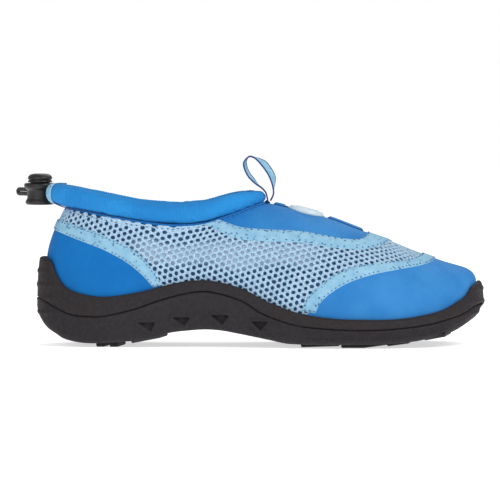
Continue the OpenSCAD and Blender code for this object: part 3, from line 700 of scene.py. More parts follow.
make("toe_panel_skin", panel(columns(TOE_A, 180, 0.9), 30, below_rim, toe_top, -PANEL_T, 0), BLUE,
     stands_for=["toe_panel"])
make("instep_panel_skin", panel(columns(THROAT_A0, THROAT_A1, 0.7), 22, throat_seam, ones, -PANEL_T, 0),
     BLUE, stands_for=["instep_panel"])
make("lining_skin", panel(columns(0, 180, 1.5), 24, lambda a: np.full(np.shape(a), -0.95), ones,
                                    LINING_AT - LINING_T, LINING_AT), LINING, stands_for=["lining"])

# ---- air mesh with real holes

PITCH = 3.5
HOLE_R = 1.2
LATTICE_TURN = math.radians(-12)
LEVEL_Z = 45.0
UP, DOWN = 58, 34
NO_HOLE_V, LAST_CELL_V = 0.985, 0.995


def slopes(a, v):
    """Derivatives of the skin along a and v."""
    return (skin(a + 0.05, v) - skin(a - 0.05, v)) / 0.1, (skin(a, v + 0.002) - skin(a, v - 0.002)) / 0.004


def dot(a, b):
    return (a * b).sum(-1)


def nudge(a, v, step):
    """Moves (a, v) so that its point on the skin follows a small step in space."""
    da, dv = slopes(a, v)
    aa, vv, av = dot(da, da), dot(dv, dv), dot(da, dv)
    det = np.maximum(aa * vv - av * av, 1e-9)
    ga, gv = dot(da, step), dot(dv, step)
    return a + (ga * vv - gv * av) / det, v + (gv * aa - ga * av) / det


class Unrolled:
    """One side of the upper laid flat: u runs along a level line, t along straightest lines square to it."""

    def __init__(self):
        a = np.linspace(0, 179, 720)
        bed_z = curve(BED, outline(a, FEATHER)[:, 0]) + 0.2
        rim = curve(RIM, a)
        v = np.where(rim > LEVEL_Z, -(rim - LEVEL_Z) / (rim - bed_z),
                     line_on([[-200, LEVEL_Z], [200, LEVEL_Z]], a))
        level = skin(a, v)
        run = arc_length(level)
        self.u = np.arange(0, run[-1], 1.0)
        a0, v0 = np.interp(self.u, run, a), np.interp(self.u, run, v)
        tangent = np.gradient(skin(a0, v0), axis=0)
        rows = {0: (a0, v0)}
        for way, count in ((1, UP), (-1, DOWN)):
            a, v = a0.copy(), v0.copy()
            heading = way * unit(np.cross(skin_normal(a, np.clip(v, 0.02, 0.98)), -tangent))
            heading *= np.sign(heading[:, 2:3]) * way
            for k in range(1, count + 1):
                here = skin(a, v)
                live = (v < 0.995) & (v > -0.4)
                na, nv = nudge(a, v, heading)
                na, nv = np.clip(na, 0, 180), np.clip(nv, -0.4, 1)
                a, v = np.where(live, na, a), np.where(live, nv, v)
                moved = skin(a, v) - here
                heading = np.where(live[:, None], unit(moved), heading)
                rows[way * k] = (a.copy(), v.copy())
        self.a = np.array([rows[k][0] for k in range(-DOWN, UP + 1)]).T
        self.v = np.array([rows[k][1] for k in range(-DOWN, UP + 1)]).T

    def at(self, u, t):
        """Angle and height on the skin of points (u, t), with the sign of u choosing the side."""
        i = np.clip(np.abs(u), 0, len(self.u) - 1.001)
        j = np.clip(np.asarray(t) + DOWN, 0, UP + DOWN - 0.001)
        i0, j0 = i.astype(int), j.astype(int)
        fi, fj = i - i0, j - j0

        def look(table):
            return mix(mix(table[i0, j0], table[i0 + 1, j0], fi),
                       mix(table[i0, j0 + 1], table[i0 + 1, j0 + 1], fi), fj)

        return np.where(u < 0, -look(self.a), look(self.a)), look(self.v)


def mesh_cells():
    """Six-sided cells of the air mesh, each round a hole, as points and faces."""
    flat = Unrolled()
    corner = circle(6)
    ring = np.stack([np.cos(corner), np.sin(corner)], 1) * PITCH / math.sqrt(3)
    edge = np.stack([ring, (ring + np.roll(ring, -1, 0)) / 2], 1).reshape(-1, 2)
    spin = np.array([[math.cos(LATTICE_TURN), math.sin(LATTICE_TURN)],
                     [-math.sin(LATTICE_TURN), math.cos(LATTICE_TURN)]])
    turn = np.arctan2(edge[:, 1], edge[:, 0])
    rng = np.random.default_rng(5)
    reach = len(flat.u) + 20
    i, j = np.meshgrid(np.arange(-reach, reach), np.arange(-reach, reach))
    lattice = np.stack([i.ravel() * PITCH * math.cos(math.pi / 6),
                        j.ravel() * PITCH + i.ravel() * PITCH / 2], 1) @ spin
    near = (np.abs(lattice[:, 0]) < len(flat.u)) & (lattice[:, 1] > -DOWN) & (lattice[:, 1] < UP)
    lattice = lattice[near]
    a, v = flat.at(lattice[:, 0], lattice[:, 1])
    f = fold(a)
    low = np.where(f < HEEL_A, heel_seam(f), np.where(f > TOE_A, toe_seam(f), -0.04))
    high = np.where((f > THROAT_A0) & (f < THROAT_A1), throat_seam(f), LAST_CELL_V)
    keep = (v > low) & (v < high) & (f < TOE_RIDGE_A - 0.5)
    build = Build()
    for c in lattice[keep]:
        size = HOLE_R * rng.uniform(0.86, 1.06)
        wide = rng.uniform(0.92, 1.12)
        hole = np.stack([np.cos(turn) * size * wide, np.sin(turn) * size / wide], 1) @ spin
        rim = edge @ spin
        uv = np.array([rim, mix(rim, hole, 0.55), hole, hole * 0.95, hole * 0.95]) + c
        drops = np.repeat([0.0, 0.0, -0.14, -0.5, -0.95], 12).reshape(5, 12)
        ra, rv = flat.at(uv[..., 0], uv[..., 1])
        if rv[0].max() > NO_HOLE_V:
            uv = mix(rim, 0 * rim, np.linspace(0, 0.999, 5)[:, None, None]) + c
            drops = np.zeros((5, 12))
            ra, rv = flat.at(uv[..., 0], uv[..., 1])
        build.grid(skin_at(ra, rv, drops), ring_m=True)
    return build.all()


def mesh_low(a):
    lower = np.where(a <= HEEL_A, heel_seam(a), np.where(a < TOE_A, -0.2, toe_seam(a)))
    return np.where(a >= TOE_RIDGE_A - 1e-9, 1.0, lower)


def instep_at(x, d, off):
    """A point on the instep: x along the ridge, d across it, off above the skin."""
    a = ridge_angle(x)
    reach = np.abs(outline(a, FEATHER)[..., 1] - curve(RIDGE_SIDE, x)) * math.pi / 2
    return skin_at(np.where(d > 0, -a, a), 1 - np.abs(d) / reach, off)


RIDGE_STRIP_HALF = 4.5


def ridge_strip():
    """Plain knit along the front of the ridge, where the lattices of the two sides meet."""
    x, d = pairs(np.linspace(76, 101, 40), np.linspace(-RIDGE_STRIP_HALF, RIDGE_STRIP_HALF, 13))
    return surface(instep_at(x, d, 0.03 - 0.35 * np.abs(d / RIDGE_STRIP_HALF) ** 3))


make("air_mesh_face", mesh_cells(), MESH, stands_for=["mesh_panel"], sharp=60)
make("air_mesh_ridge", ridge_strip(), MESH)
make("air_mesh_backing", panel(columns(0, TOE_RIDGE_A, 1.2), 26, mesh_low, throat_seam, -PANEL_T,
                               BACKING_AT), BACKING)

# ---- trims and stitching

THREAD_W, THREAD_H = 0.5, 0.6
SKIPPED_STITCHES = 0.12


def stitches(name, a, v, off, pitch, length, material, side_step):
    """Raised threads along both sides of the shoe, following angles a and heights v."""
    build = Build()
    rng = np.random.default_rng(len(name))
    for s in (1, -1):
        p = skin_at(s * a, v, np.full(a.shape, float(off)))
        n = skin_normal(s * a, v)
        run = arc_length(p)
        at = np.arange(pitch / 2, run[-1], pitch)
        at = at[rng.random(len(at)) > SKIPPED_STITCHES] + rng.uniform(-0.15, 0.15) * pitch

        def along(table, places):
            return np.stack([np.interp(places, run, table[:, k]) for k in range(3)], 1)

        c, m, d = along(p, at), along(n, at), along(p, at + 0.3) - along(p, at - 0.3)
        c = c + side_step * np.where(np.arange(len(at)) % 2, 1, -1)[:, None] * np.cross(unit(m), unit(d))
        build.add(*capsules(c, d, m, length, THREAD_W, THREAD_H))
    make(name, build.all(), material)


TRIM_LIFT, TRIM_T = 0.05, 0.6


def trim(node, cols, top, low, to_ridge, pitch):
    """A sewn strip with rolled edges and a row of stitches sunk along each edge."""
    last = cols[-1]

    def foot(a):
        f = np.clip(line_on(low, a), 0.02, 0.985)
        return np.where(a >= last - 1e-9, 1.0, f) if to_ridge else f

    def head(a):
        return np.maximum(line_on(top, a), np.minimum(foot(a) + 0.015, 1))

    lo, hi = foot(cols), head(cols)
    width = np.linalg.norm(skin(cols, hi) - skin(cols, lo), axis=-1)
    inset = np.clip(0.95 / np.maximum(width, 2.0), 0, 0.45)

    def lift(v, t):
        edge = 1 - np.abs(2 * t - 1) ** 5
        across = width[:, None]
        d = np.minimum(t, 1 - t) * across
        open_edge = np.where(v >= 1 - 1e-9, 1.0, edge) if to_ridge else edge
        return 0.15 * open_edge - 0.2 * np.exp(-((d - 0.95) / 0.4) ** 2) - (1 - open_edge) * 0.55

    strip = panel(cols, 16, foot, head, TRIM_LIFT - 0.15, TRIM_LIFT + TRIM_T, lift)
    make(node + "_strip", strip, TRIM, stands_for=[node])
    for tag, t in (("low", inset), ("high", 1 - inset)):
        keep = (width > 2.6) & (hi < 1 - 1e-6 if tag == "high" else lo < 1 - 1e-6)
        if keep.sum() > 3:
            stitches(f"{node}_stitch_{tag}", cols[keep], mix(lo, hi, t)[keep], TRIM_LIFT + TRIM_T - 0.06,
                     pitch, 1.0, NAVY, side_step=0.12)


trim("heel_trim", np.linspace(0, angle_at(-48), 150), HEEL_TOP, HEEL_LOW, False, 2.3)
trim("toe_trim", np.linspace(angle_at(28.5), float(ridge_angle(103.5)), 190), TOE_TOP, TOE_LOW, True, 2.6)
steep_a = float(ridge_angle(56))
throat_cols = np.concatenate([np.linspace(THROAT_A0 - 1.5, steep_a, 130)[:-1],
                              np.linspace(steep_a, float(ridge_angle(79)), 70)])
trim("throat_trim", throat_cols, THROAT_TOP, THROAT_LOW, True, 3.6)


WELT_W = 3.4


def welt(x0, x1):
    x, d = np.linspace(x0, x1, 60), np.linspace(-1, 1, 17)
    end = np.clip(np.minimum(x - x0, x1 - x) / 1.4, 0, 1)
    round_end = np.sqrt(1 - (1 - end) ** 2)[:, None]
    xx, dd = x[:, None] + 0 * d, d[None] * WELT_W / 2 * np.maximum(round_end, 0.02)
    off = 0.1 + 1.35 * np.sqrt(np.clip(1 - d[None] ** 2, 0, 1)) * round_end
    side = WELT_W / 2 * np.maximum(round_end[:, 0], 0.02)
    edges = [tube(instep_at(x, s * side, 0.25 + 0 * x), 0.32, 8) for s in (1, -1)]
    return surface(instep_at(xx, dd, off)), edges


for number, (x0, x1) in enumerate(((13.5, 20.0), (43.5, 63.0))):
    band, edges = welt(x0, x1)
    make(f"instep_welt_{number}", band, BLUE, stands_for=["instep_welt"])
    for k, edge in enumerate(edges):
        make(f"instep_welt_{number}_edge_{k}", edge, NAVY)

# ---- badge with a plain wave

BADGE_X, BADGE_L, BADGE_W = 31.35, 19.3, 14.0


def badge():
    r = np.concatenate([np.linspace(0.001, 0.82, 26), np.linspace(0.84, 1, 10)])
    f = circle(90)
    rr, ff = pairs(r, f)
    x, d = rr * np.cos(ff), rr * np.sin(ff)
    waves = sum(np.exp(-((d - centre - 0.13 * np.sin(4.2 * x)) / 0.07) ** 2) for centre in (-0.34, 0.0, 0.34))
    face = 0.7 * waves * smooth((0.74 - rr) / 0.1)
    rim = 0.45 * np.exp(-((rr - 0.86) / 0.055) ** 2)
    off = 0.25 + (1.0 + 0.8 * np.sqrt(1 - rr ** 2)) * np.sqrt(np.clip((1 - rr) / 0.06, 0, 1)) + face + rim
    top = instep_at(BADGE_X + BADGE_L / 2 * x, BADGE_W / 2 * d, off)
    base = instep_at(BADGE_X + BADGE_L / 2 * x, BADGE_W / 2 * d, 0.2 + 0 * off)
    build = Build()
    build.grid(top, ring_m=True)
    build.grid(base, ring_m=True)
    return build.all()


make("instep_badge_dome", badge(), BADGE, stands_for=["instep_badge"], sharp=60)
around = circle(120)
ring_path = instep_at(BADGE_X + (BADGE_L / 2 + 0.2) * np.cos(around), (BADGE_W / 2 + 0.2) * np.sin(around),
                      0.2 + 0 * around)
make("instep_badge_edge", tube(ring_path, 0.35, 8, closed=True), BADGE_RIM)

# ---- padded collar, blown up as cloth

COLLAR_TOP = [[-114, 88.8], [-104, 90.4], [-87, 87.4], [-69, 83.5], [-60, 81.8], [-42, 80.6], [-25, 81.8],
              [-15.6, 84.4], [-6.7, 86.6], [2, 87], [9.4, 86]]
COLLAR_T, COLLAR_INSET = 9.2, 3.2
SPOUT, SPOUT_W, SPOUT_LIFT = 8.4, 12, 3.6


def collar_path(b):
    b = np.asarray(b, float)
    p = opening_at(b, COLLAR_INSET + 1.6 * smooth((np.abs(b) - 130) / 50))
    x = p[..., 0] - SPOUT * np.exp(-(p[..., 1] / SPOUT_W) ** 2) * (np.abs(b) < 90)
    return np.stack([x, p[..., 1], 0 * x], -1)


def collar_frame(b):
    """Centre of the roll's section, its outward direction, and its half thickness and half height."""
    p = collar_path(b)
    ahead = collar_path(b + 0.5) - collar_path(b - 0.5)
    n = unit(np.stack([ahead[..., 1], -ahead[..., 0], 0 * b], -1))
    lo = curve(TOP, p[..., 0]) + 0.3 + SPOUT_LIFT * smooth((-102 - p[..., 0]) / 10)
    hi = curve(COLLAR_TOP, p[..., 0])
    p[..., 2] = (lo + hi) / 2
    return p, n, COLLAR_T / 2 * (1 - 0.12 * smooth((np.abs(b) - 130) / 50)), (hi - lo) / 2


def collar_point(b, t, off=0.0):
    p, n, rx, rz = collar_frame(b)
    return p + ((rx + off) * cosd(t))[..., None] * n + ((rz + off) * np.sin(np.radians(t)))[..., None] * [0,
                                                                                                          0,
                                                                                                          1.0]


CLOTH_FRAMES = 20


def swell(points, faces, voxel, pressure, cap):
    """Blows a closed form up as cloth and returns its settled mesh, in metres."""
    roll = add_object("roll", mesh_of("roll", points, faces))
    bpy.context.view_layer.objects.active = roll
    remesh = roll.modifiers.new("remesh", "REMESH")
    remesh.mode, remesh.voxel_size = "VOXEL", voxel * MM
    solid = evaluated_mesh(roll)
    roll.modifiers.clear()
    roll.data = solid
    rest = np.empty(len(solid.vertices) * 3)
    solid.vertices.foreach_get("co", rest)
    cloth = roll.modifiers.new("cloth", "CLOTH")
    cloth.settings.quality = 6
    cloth.settings.use_pressure = True
    cloth.settings.uniform_pressure_force = pressure
    cloth.settings.shrink_min = -0.06
    cloth.settings.effector_weights.gravity = 0
    scene = bpy.context.scene
    for number in range(1, CLOTH_FRAMES + 1):
        scene.frame_set(number)
    settled = evaluated_mesh(roll)
    scene.frame_set(1)
    moved = np.empty(len(settled.vertices) * 3)
    settled.vertices.foreach_get("co", moved)
    step = (moved - rest).reshape(-1, 3)
    far = np.linalg.norm(step, axis=1, keepdims=True)
    step *= np.minimum(1, cap * MM / np.maximum(far, 1e-9))
    settled.vertices.foreach_set("co", (rest.reshape(-1, 3) + step).ravel())
    bpy.data.objects.remove(roll)
    return settled


SECTION = 64
path_b = np.arange(-180, 180, 0.45)
section_t = np.arange(SECTION) * 360 / SECTION - 90
PB, PT = pairs(path_b, section_t)
centre = collar_frame(path_b)[0]
roll_line = centre * [1, 1, 0]
run = arc_length(roll_line)
roll_grid = collar_point(PB, PT)
start_b = np.arange(-180, 180, 3.0)
SB, ST = pairs(start_b, np.arange(0, 360, 15.0))
start_grid = collar_point(SB, ST, -0.9)
radius = np.linalg.norm(roll_grid - centre[:, None], axis=-1)
ray_dir = (roll_grid - centre[:, None]) / radius[..., None]
settled = swell(start_grid.reshape(-1, 3), grid_faces(*SB.shape, True, True).tolist(), 1.9, 4.0, 1.6)
tree = BVHTree.FromPolygons([v.co for v in settled.vertices],
                            [tuple(p.vertices) for p in settled.polygons])
soft = radius.copy()
for i in range(len(path_b)):
    origin = Vector((centre[i] * MM).tolist())
    for j in range(SECTION):
        hit = tree.ray_cast(origin, Vector(ray_dir[i, j].tolist()), 0.02)
        if hit[3] is not None:
            soft[i, j] = hit[3] / MM
radius = mix(radius, np.clip(soft, radius - 1.1, radius + 0.5), 0.8)


def rolling_noise(length, run, seed):
    """Smooth noise along a closed line, about one swing a length."""
    n = max(4, int(run[-1] / length))
    knots = np.random.default_rng(seed).uniform(-1, 1, n)
    at = run / run[-1] * n
    i = at.astype(int)
    return mix(knots[i % n], knots[(i + 1) % n], smooth(at - i))


lean = 1.6 * np.sin(np.radians(PT)) * rolling_noise(9, run, 3)[:, None]
wrinkled = 0.25 + smooth(1 - np.abs(centre[:, 0] + 34) / 16) + 0.8 * smooth((centre[:, 0] + 12) / 14)
ribs = 0.09 * np.sin(2 * np.pi * (run[:, None] + lean) / 1.5 + 2 * rolling_noise(6, run, 4)[:, None])
creases = rolling_noise(2.3, run, 8)[:, None] * np.sin(np.radians((PT + 90) / 2)) ** 2
folds = 0.3 * wrinkled[:, None] * (creases - 0.2)
swells = 0.25 * rolling_noise(14, run, 21)[:, None]
radius = radius - 0.35 + (ribs + folds * 0.8 + swells * 0.6) * (np.sin(np.radians((PT + 90) / 2)) ** 0.7)
roll_grid = centre[:, None] + ray_dir * radius[..., None]
along = np.repeat(run, SECTION)
make("collar_roll", surface(roll_grid, True, True), COLLAR_BLUE,
     stands_for=["collar", "collar_foam"], sharp=80, values={"along": along})

seam_b = np.arange(-180, 180, 0.8)
make("collar_piping", tube(opening_at(seam_b, 1.2) + [0, 0, 0.2], 0.8, 10, closed=True), BLUE)
SEAM_T = -64.0
# A thin navy tube where the roll meets the piping: partly the seam's stitching, partly painted shade in the
# groove between them.
make("collar_seam_and_groove_shade", tube(collar_point(seam_b, SEAM_T + 0 * seam_b, 0.12), 0.28, 8, closed=True), NAVY)
edge_a = np.linspace(opening_side_angle(-100), JOIN_A - 0.6, 200)
stitches("opening_stitch", edge_a, 0.955 + 0 * edge_a, 0.05, 2.9, 1.4, NAVY, side_step=0.15)
ridge_line = instep_at(np.linspace(15.0, 21.5, 30), np.zeros(30), np.full(30, 0.35))
make("instep_ridge_line", tube(ridge_line, 0.45, 8), NAVY)

# ---- cord, its exit and its lock

LOCK_DIR, LOCK_REACH, LOCK_R = 137.0, 14.8, 8.9
EXIT_B, CORD_D, CORD_Z = -11.0, 2.3, 84.7
STRAND_Z = (CORD_D + 0.1) / 2
PATCH_BACK, PATCH_FRONT, PATCH_SIDE = 12, 8.5, 66
AXIS = np.array([cosd(LOCK_DIR), math.sin(math.radians(LOCK_DIR)), 0])
ACROSS = np.array([-AXIS[1], AXIS[0], 0])
exit_at = collar_path(EXIT_B)
lock_at = exit_at + LOCK_REACH * AXIS
TAIL_END = LOCK_REACH + LOCK_R + 7.1
TURN_R = 2.4


def cord_inside(side):
    b = np.linspace(side * 180, EXIT_B + side * 8, 120)
    c, _, _, rz = collar_frame(b)
    far = smooth((np.abs(b - EXIT_B) - 8) / 30)
    rest = c[:, 2] - np.minimum(2.9, rz - CORD_D / 2 - 1.45)
    c[:, 2] = mix(CORD_Z + side * STRAND_Z, rest, far)
    f = np.radians(np.arange(0, 90, 10))[:, None]
    bend = exit_at + TURN_R * ((np.sin(f) - 1) * side * -ACROSS + (1 - np.cos(f)) * AXIS)
    bend[:, 2] = CORD_Z + side * STRAND_Z
    return np.concatenate([c, bend])


def cord_tail(side, u):
    return exit_at + np.asarray(u)[:, None] * AXIS + [0, 0, CORD_Z + side * STRAND_Z]


inner, outer = cord_inside(-1), cord_inside(1)
turn = np.radians(np.arange(0, 181, 15))[:, None]
turn_path = (cord_tail(0, [TAIL_END])[0] + STRAND_Z * (np.sin(turn) * AXIS + np.cos(turn) * [0, 0, -1.0]))
cord_path = np.concatenate([inner, cord_tail(-1, np.linspace(TURN_R, TAIL_END - 1, 30)), turn_path,
                            cord_tail(1, np.linspace(TAIL_END - 1, TURN_R, 30)), outer[::-1][:-1]])
make("drawcord_line", tube(cord_path, CORD_D / 2, 16, closed=True), CORD, stands_for=["drawcord"],
     sharp=80)

pb, pt = pairs(np.linspace(EXIT_B - PATCH_BACK, PATCH_FRONT, 60), np.linspace(-PATCH_SIDE, PATCH_SIDE, 44))
edge = np.minimum(np.minimum(pb - pb.min(), pb.max() - pb) / 2.2,
                  np.minimum(pt - pt.min(), pt.max() - pt) / 9)
thick = 0.12 + 0.65 * np.sqrt(np.clip(1 - (1 - np.clip(edge, 0, 1)) ** 2, 0, 1))
stitch_dip = 0.22 * np.exp(-((edge - 1.6) / 0.4) ** 2)
patch = sheet(collar_point(pb, pt, thick - stitch_dip), collar_point(pb, pt, 0.05 + 0 * thick))
make("cord_exit_cap", patch, TRIM, stands_for=["cord_exit_patch"], sharp=60)

eye = circle(45)
eye_line = (exit_at + (COLLAR_T / 2 + 0.85) * AXIS + [0, 0, CORD_Z]
            + (1.75 * np.cos(eye))[:, None] * ACROSS + (2.9 * np.sin(eye))[:, None] * np.array([0, 0, 1.0]))
make("cord_exit_eyelet", tube(eye_line, 0.5, 10, closed=True), PALE)


def lathe(profile):
    """A solid of revolution about the lock's axis, from an [r, z] outline that starts and ends on it."""
    pr, pz = np.array(profile, float).T
    f = circle(96)
    g = np.stack([pr[:, None] * np.cos(f), pr[:, None] * np.sin(f), pz[:, None] + 0 * f], -1)
    return surface(g + lock_at, ring_m=True)


def rounded(profile):
    """The same outline with its corners rounded."""
    radius, steps = 0.35, 4
    pts = np.array(profile, float)
    out = [pts[0]]
    for a, b, c in zip(pts[:-2], pts[1:-1], pts[2:]):
        ab, cb = a - b, c - b
        la, lc = np.linalg.norm(ab), np.linalg.norm(cb)
        r = min(radius, la * 0.45, lc * 0.45)
        p0, p1 = b + ab / la * r, b + cb / lc * r
        for t in np.linspace(0, 1, steps + 1):
            out.append((1 - t) ** 2 * p0 + 2 * t * (1 - t) * b + t * t * p1)
    out.append(pts[-1])
    return out


def cut_slot(obj, lo, hi, width):
    """Cuts the cord's tunnel through a lock part along the cord."""
    s, f = pairs([-14.0, 14.0], circle(32))
    half_w, half_h = width / 2, (hi - lo) / 2
    side = half_w * np.cos(f)
    up = half_w * np.sin(f) + np.sign(np.sin(f)) * (half_h - half_w)
    g = lock_at + s[..., None] * AXIS + side[..., None] * ACROSS
    g[..., 2] += (lo + hi) / 2 + up
    faces = grid_faces(2, 32, False, True).tolist() + [list(range(32))[::-1], list(range(32, 64))]
    cutter = add_object("cutter", mesh_of("cutter", g, faces))
    cut = obj.modifiers.new("cut", "BOOLEAN")
    cut.operation, cut.object, cut.solver = "DIFFERENCE", cutter, "EXACT"
    done = evaluated_mesh(obj)
    obj.modifiers.clear()
    done.shade_smooth()
    done.set_sharp_from_angle(angle=math.radians(35))
    obj.data = done
    bpy.data.objects.remove(cutter)


Z0, BARREL_TOP, BORE_R, HEAD_R = 77.7, 89.7, 5.4, 6.9
SLOT_W, SLOT_LO, SLOT_HI = CORD_D + 0.5, CORD_Z - 2 * STRAND_Z - 0.25, CORD_Z + 2 * STRAND_Z + 0.25
barrel_line = [[0, Z0], [7.4, Z0], [8.1, Z0 + 0.7], [8.1, Z0 + 2], [7.2, Z0 + 3.4], [7.2, BARREL_TOP - 4],
               [LOCK_R, BARREL_TOP - 2.4], [LOCK_R, BARREL_TOP - 0.6], [LOCK_R - 0.6, BARREL_TOP],
               [HEAD_R + 0.4, BARREL_TOP],
               [HEAD_R + 0.4, BARREL_TOP - 2.6], [BORE_R + 0.25, BARREL_TOP - 2.6],
               [BORE_R + 0.25, Z0 + 1.2], [0, Z0 + 1.2]]
barrel = make("cord_lock_barrel_shell", lathe(rounded(barrel_line)), LOCK, "cord_lock",
              ["cord_lock_barrel"], 35)
cut_slot(barrel, SLOT_LO, SLOT_HI, SLOT_W)
PLUNGER_Z = SLOT_LO - 0.7
button_line = [[0, PLUNGER_Z], [BORE_R, PLUNGER_Z], [BORE_R, BARREL_TOP + 0.5], [HEAD_R, BARREL_TOP + 0.5],
               [HEAD_R, 91],
               [HEAD_R - 0.7, 91.3], [HEAD_R - 0.7, 91.7], [HEAD_R, 92], [HEAD_R - 0.2, 93.4],
               [HEAD_R - 1.4, 94.5],
               [HEAD_R - 3.2, 95], [0, 95]]
button = make("cord_lock_button_head", lathe(rounded(button_line)), LOCK, "lock_button",
              ["cord_lock_button"], 35)
cut_slot(button, SLOT_LO, SLOT_HI + 1.6, SLOT_W)

COIL_FOOT, COIL_RISE, WIRE = Z0 + 1.25, PLUNGER_Z - Z0 - 1.85, 0.55
rise = np.linspace(0, 1, 110)
coil_r, coil_f = 4.4 - 1.5 * rise, 648 * rise
coil = np.stack([coil_r * cosd(coil_f), coil_r * np.sin(np.radians(coil_f)),
                 COIL_FOOT + WIRE / 2 + COIL_RISE * rise], 1)
spring = make("cord_lock_coil", tube(coil + lock_at, WIRE / 2, 12), STEEL, "cord_lock",
              ["cord_lock_spring"])
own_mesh(spring)

# ---- pull loop

LOOP = np.array([[9.9, 80.2], [9.5, 82.6], [8.7, 85.1], [6.4, 87.7], [2.7, 90.3], [-0.9, 94], [-3.1, 98.4],
                 [-3.4, 102],
                 [-0.6, 105], [2.6, 104.3], [6.2, 100.7], [9.7, 95.9], [11.9, 91.2], [13, 86.9], [13, 83.8],
                 [11.4, 80.4]])
LOOP_W, LOOP_T, LOOP_Y = 5.6, 0.7, -1.6


def spline(k, t):
    n = len(k) - 1
    i = np.minimum(np.floor(t).astype(int), n - 1)
    f = (t - i)[:, None]
    a, b, c, d = k[np.maximum(i - 1, 0)], k[i], k[i + 1], k[np.minimum(i + 2, n)]
    return 0.5 * (2 * b + (c - a) * f + (2 * a - 5 * b + 4 * c - d) * f * f + (3 * b - 3 * c + d - a)
                  * f ** 3)


loop_t = np.linspace(0, len(LOOP) - 1, 180)
mid = spline(LOOP, loop_t)
twist = (3.0 * smooth((loop_t - 8.8) / 1.5) * smooth((13.2 - loop_t) / 1.8)
         - 1.5 * smooth((loop_t - 3.2) / 1.5) * smooth((8 - loop_t) / 1.3))
tangent = unit(np.gradient(mid, axis=0))
side = np.stack([-tangent[:, 1], tangent[:, 0]], 1)
w = np.linspace(-1, 1, 25)
faces_off = LOOP_T / 2 * (1 - 0.55 * np.abs(w) ** 6) + 0.05 * np.cos(3 * np.pi * w)


def ribbon(sign):
    g = np.zeros((len(mid), len(w), 3))
    shift = sign * faces_off + twist[:, None] * (w + 1) / 2
    g[..., 0] = mid[:, None, 0] + side[:, None, 0] * shift
    g[..., 2] = mid[:, None, 1] + side[:, None, 1] * shift
    g[..., 1] = LOOP_Y + w * (LOOP_W / 2 - 0.3)
    return g


make("pull_loop_band", sheet(ribbon(1), ribbon(-1)), TRIM, "loop", ["pull_loop"], 60)
for k, y in enumerate((LOOP_Y - LOOP_W / 2 + 0.4, LOOP_Y + LOOP_W / 2 - 0.4)):
    line = np.stack([mid[:, 0] + k * twist * side[:, 0], y + 0 * mid[:, 0],
                     mid[:, 1] + k * twist * side[:, 1]], 1)
    make(f"pull_loop_edge_{k}", tube(line, 0.46, 10), NAVY, "loop")

knot_f = circle(72)
knot_line = np.stack([9.6 + (0.8 + 0.4 * np.cos(3 * knot_f)) * np.cos(2 * knot_f),
                      LOOP_Y + 1.0 * np.sin(3 * knot_f),
                      79.1 + (0.8 + 0.4 * np.cos(3 * knot_f)) * np.sin(2 * knot_f)], 1)
make("instep_knot", tube(knot_line, 0.5, 10, closed=True), NAVY)

# ---- sole

HEEL_RIBS = (41.5, 34.0, 26.5, 18.5)
TOE_RIBS = (31.6, 24.5, 18.0)
RECESSES = [[-61.9, -53.1, 13.6, -55.6, 9.4], [-42.5, -34, 16.5, -36.8, 12.6],
            [-21.2, -12.3, 17.8, -15.7, 13.4],
            [1.4, 9.1, 14.4, 5.6, 10.3]]


def triangle_distance(x, z, r):
    """Distance to a recess's outline, negative inside it."""
    corners = np.array([[r[0], r[2]], [r[3], r[4]], [r[1], r[2]]])
    d = np.full(x.shape, 1e9)
    inside = np.ones(x.shape, bool)
    for p, q in zip(corners, np.roll(corners, -1, 0)):
        e = q - p
        t = np.clip(((x - p[0]) * e[0] + (z - p[1]) * e[1]) / (e @ e), 0, 1)
        d = np.minimum(d, np.hypot(x - p[0] - t * e[0], z - p[1] - t * e[1]))
        inside &= (e[0] * (z - p[1]) - e[1] * (x - p[0])) > 0
    return np.where(inside, -d, d)


def wall_relief(a, z):
    """How far the sole's wall stands out from its plain outline, in millimetres."""
    f = fold(a)
    x = outline(f, 0)[..., 0]
    out = np.zeros(np.broadcast(x, z).shape)
    heel, toe = smooth((31 - f) / 12), smooth((f - 152) / 10)
    for z0 in HEEL_RIBS:
        out = out + 0.55 * heel * np.exp(-np.abs((z - z0) / 1.1) ** 3)
    for z0 in TOE_RIBS:
        out = out + 0.5 * toe * np.exp(-np.abs((z - z0) / 1.2) ** 3)
    for r in RECESSES:
        d = triangle_distance(x + 0 * z, z + 0 * x, r)
        out = out - 2.0 * smooth((0.3 - d) / 0.6) + 0.75 * np.exp(-((d - 1.25) / 0.8) ** 6)
    return out


def wall_point(a, inset, z):
    push = wall_relief(a, z) * smooth((3.4 - inset) / 2.2)
    return outline(a, inset - push, z)


def profile(knots, n):
    """Even points along a rounded line through (inset, z) knots given as arrays over the columns."""
    k = np.array(knots)
    run = arc_length(k.mean(2))
    at = np.linspace(0, run[-1], n)
    i = np.clip(np.searchsorted(run, at, side="right") - 1, 0, len(run) - 2)
    f = ((at - run[i]) / (run[i + 1] - run[i]))[:, None, None]
    return mix(k[i], k[i + 1], f)


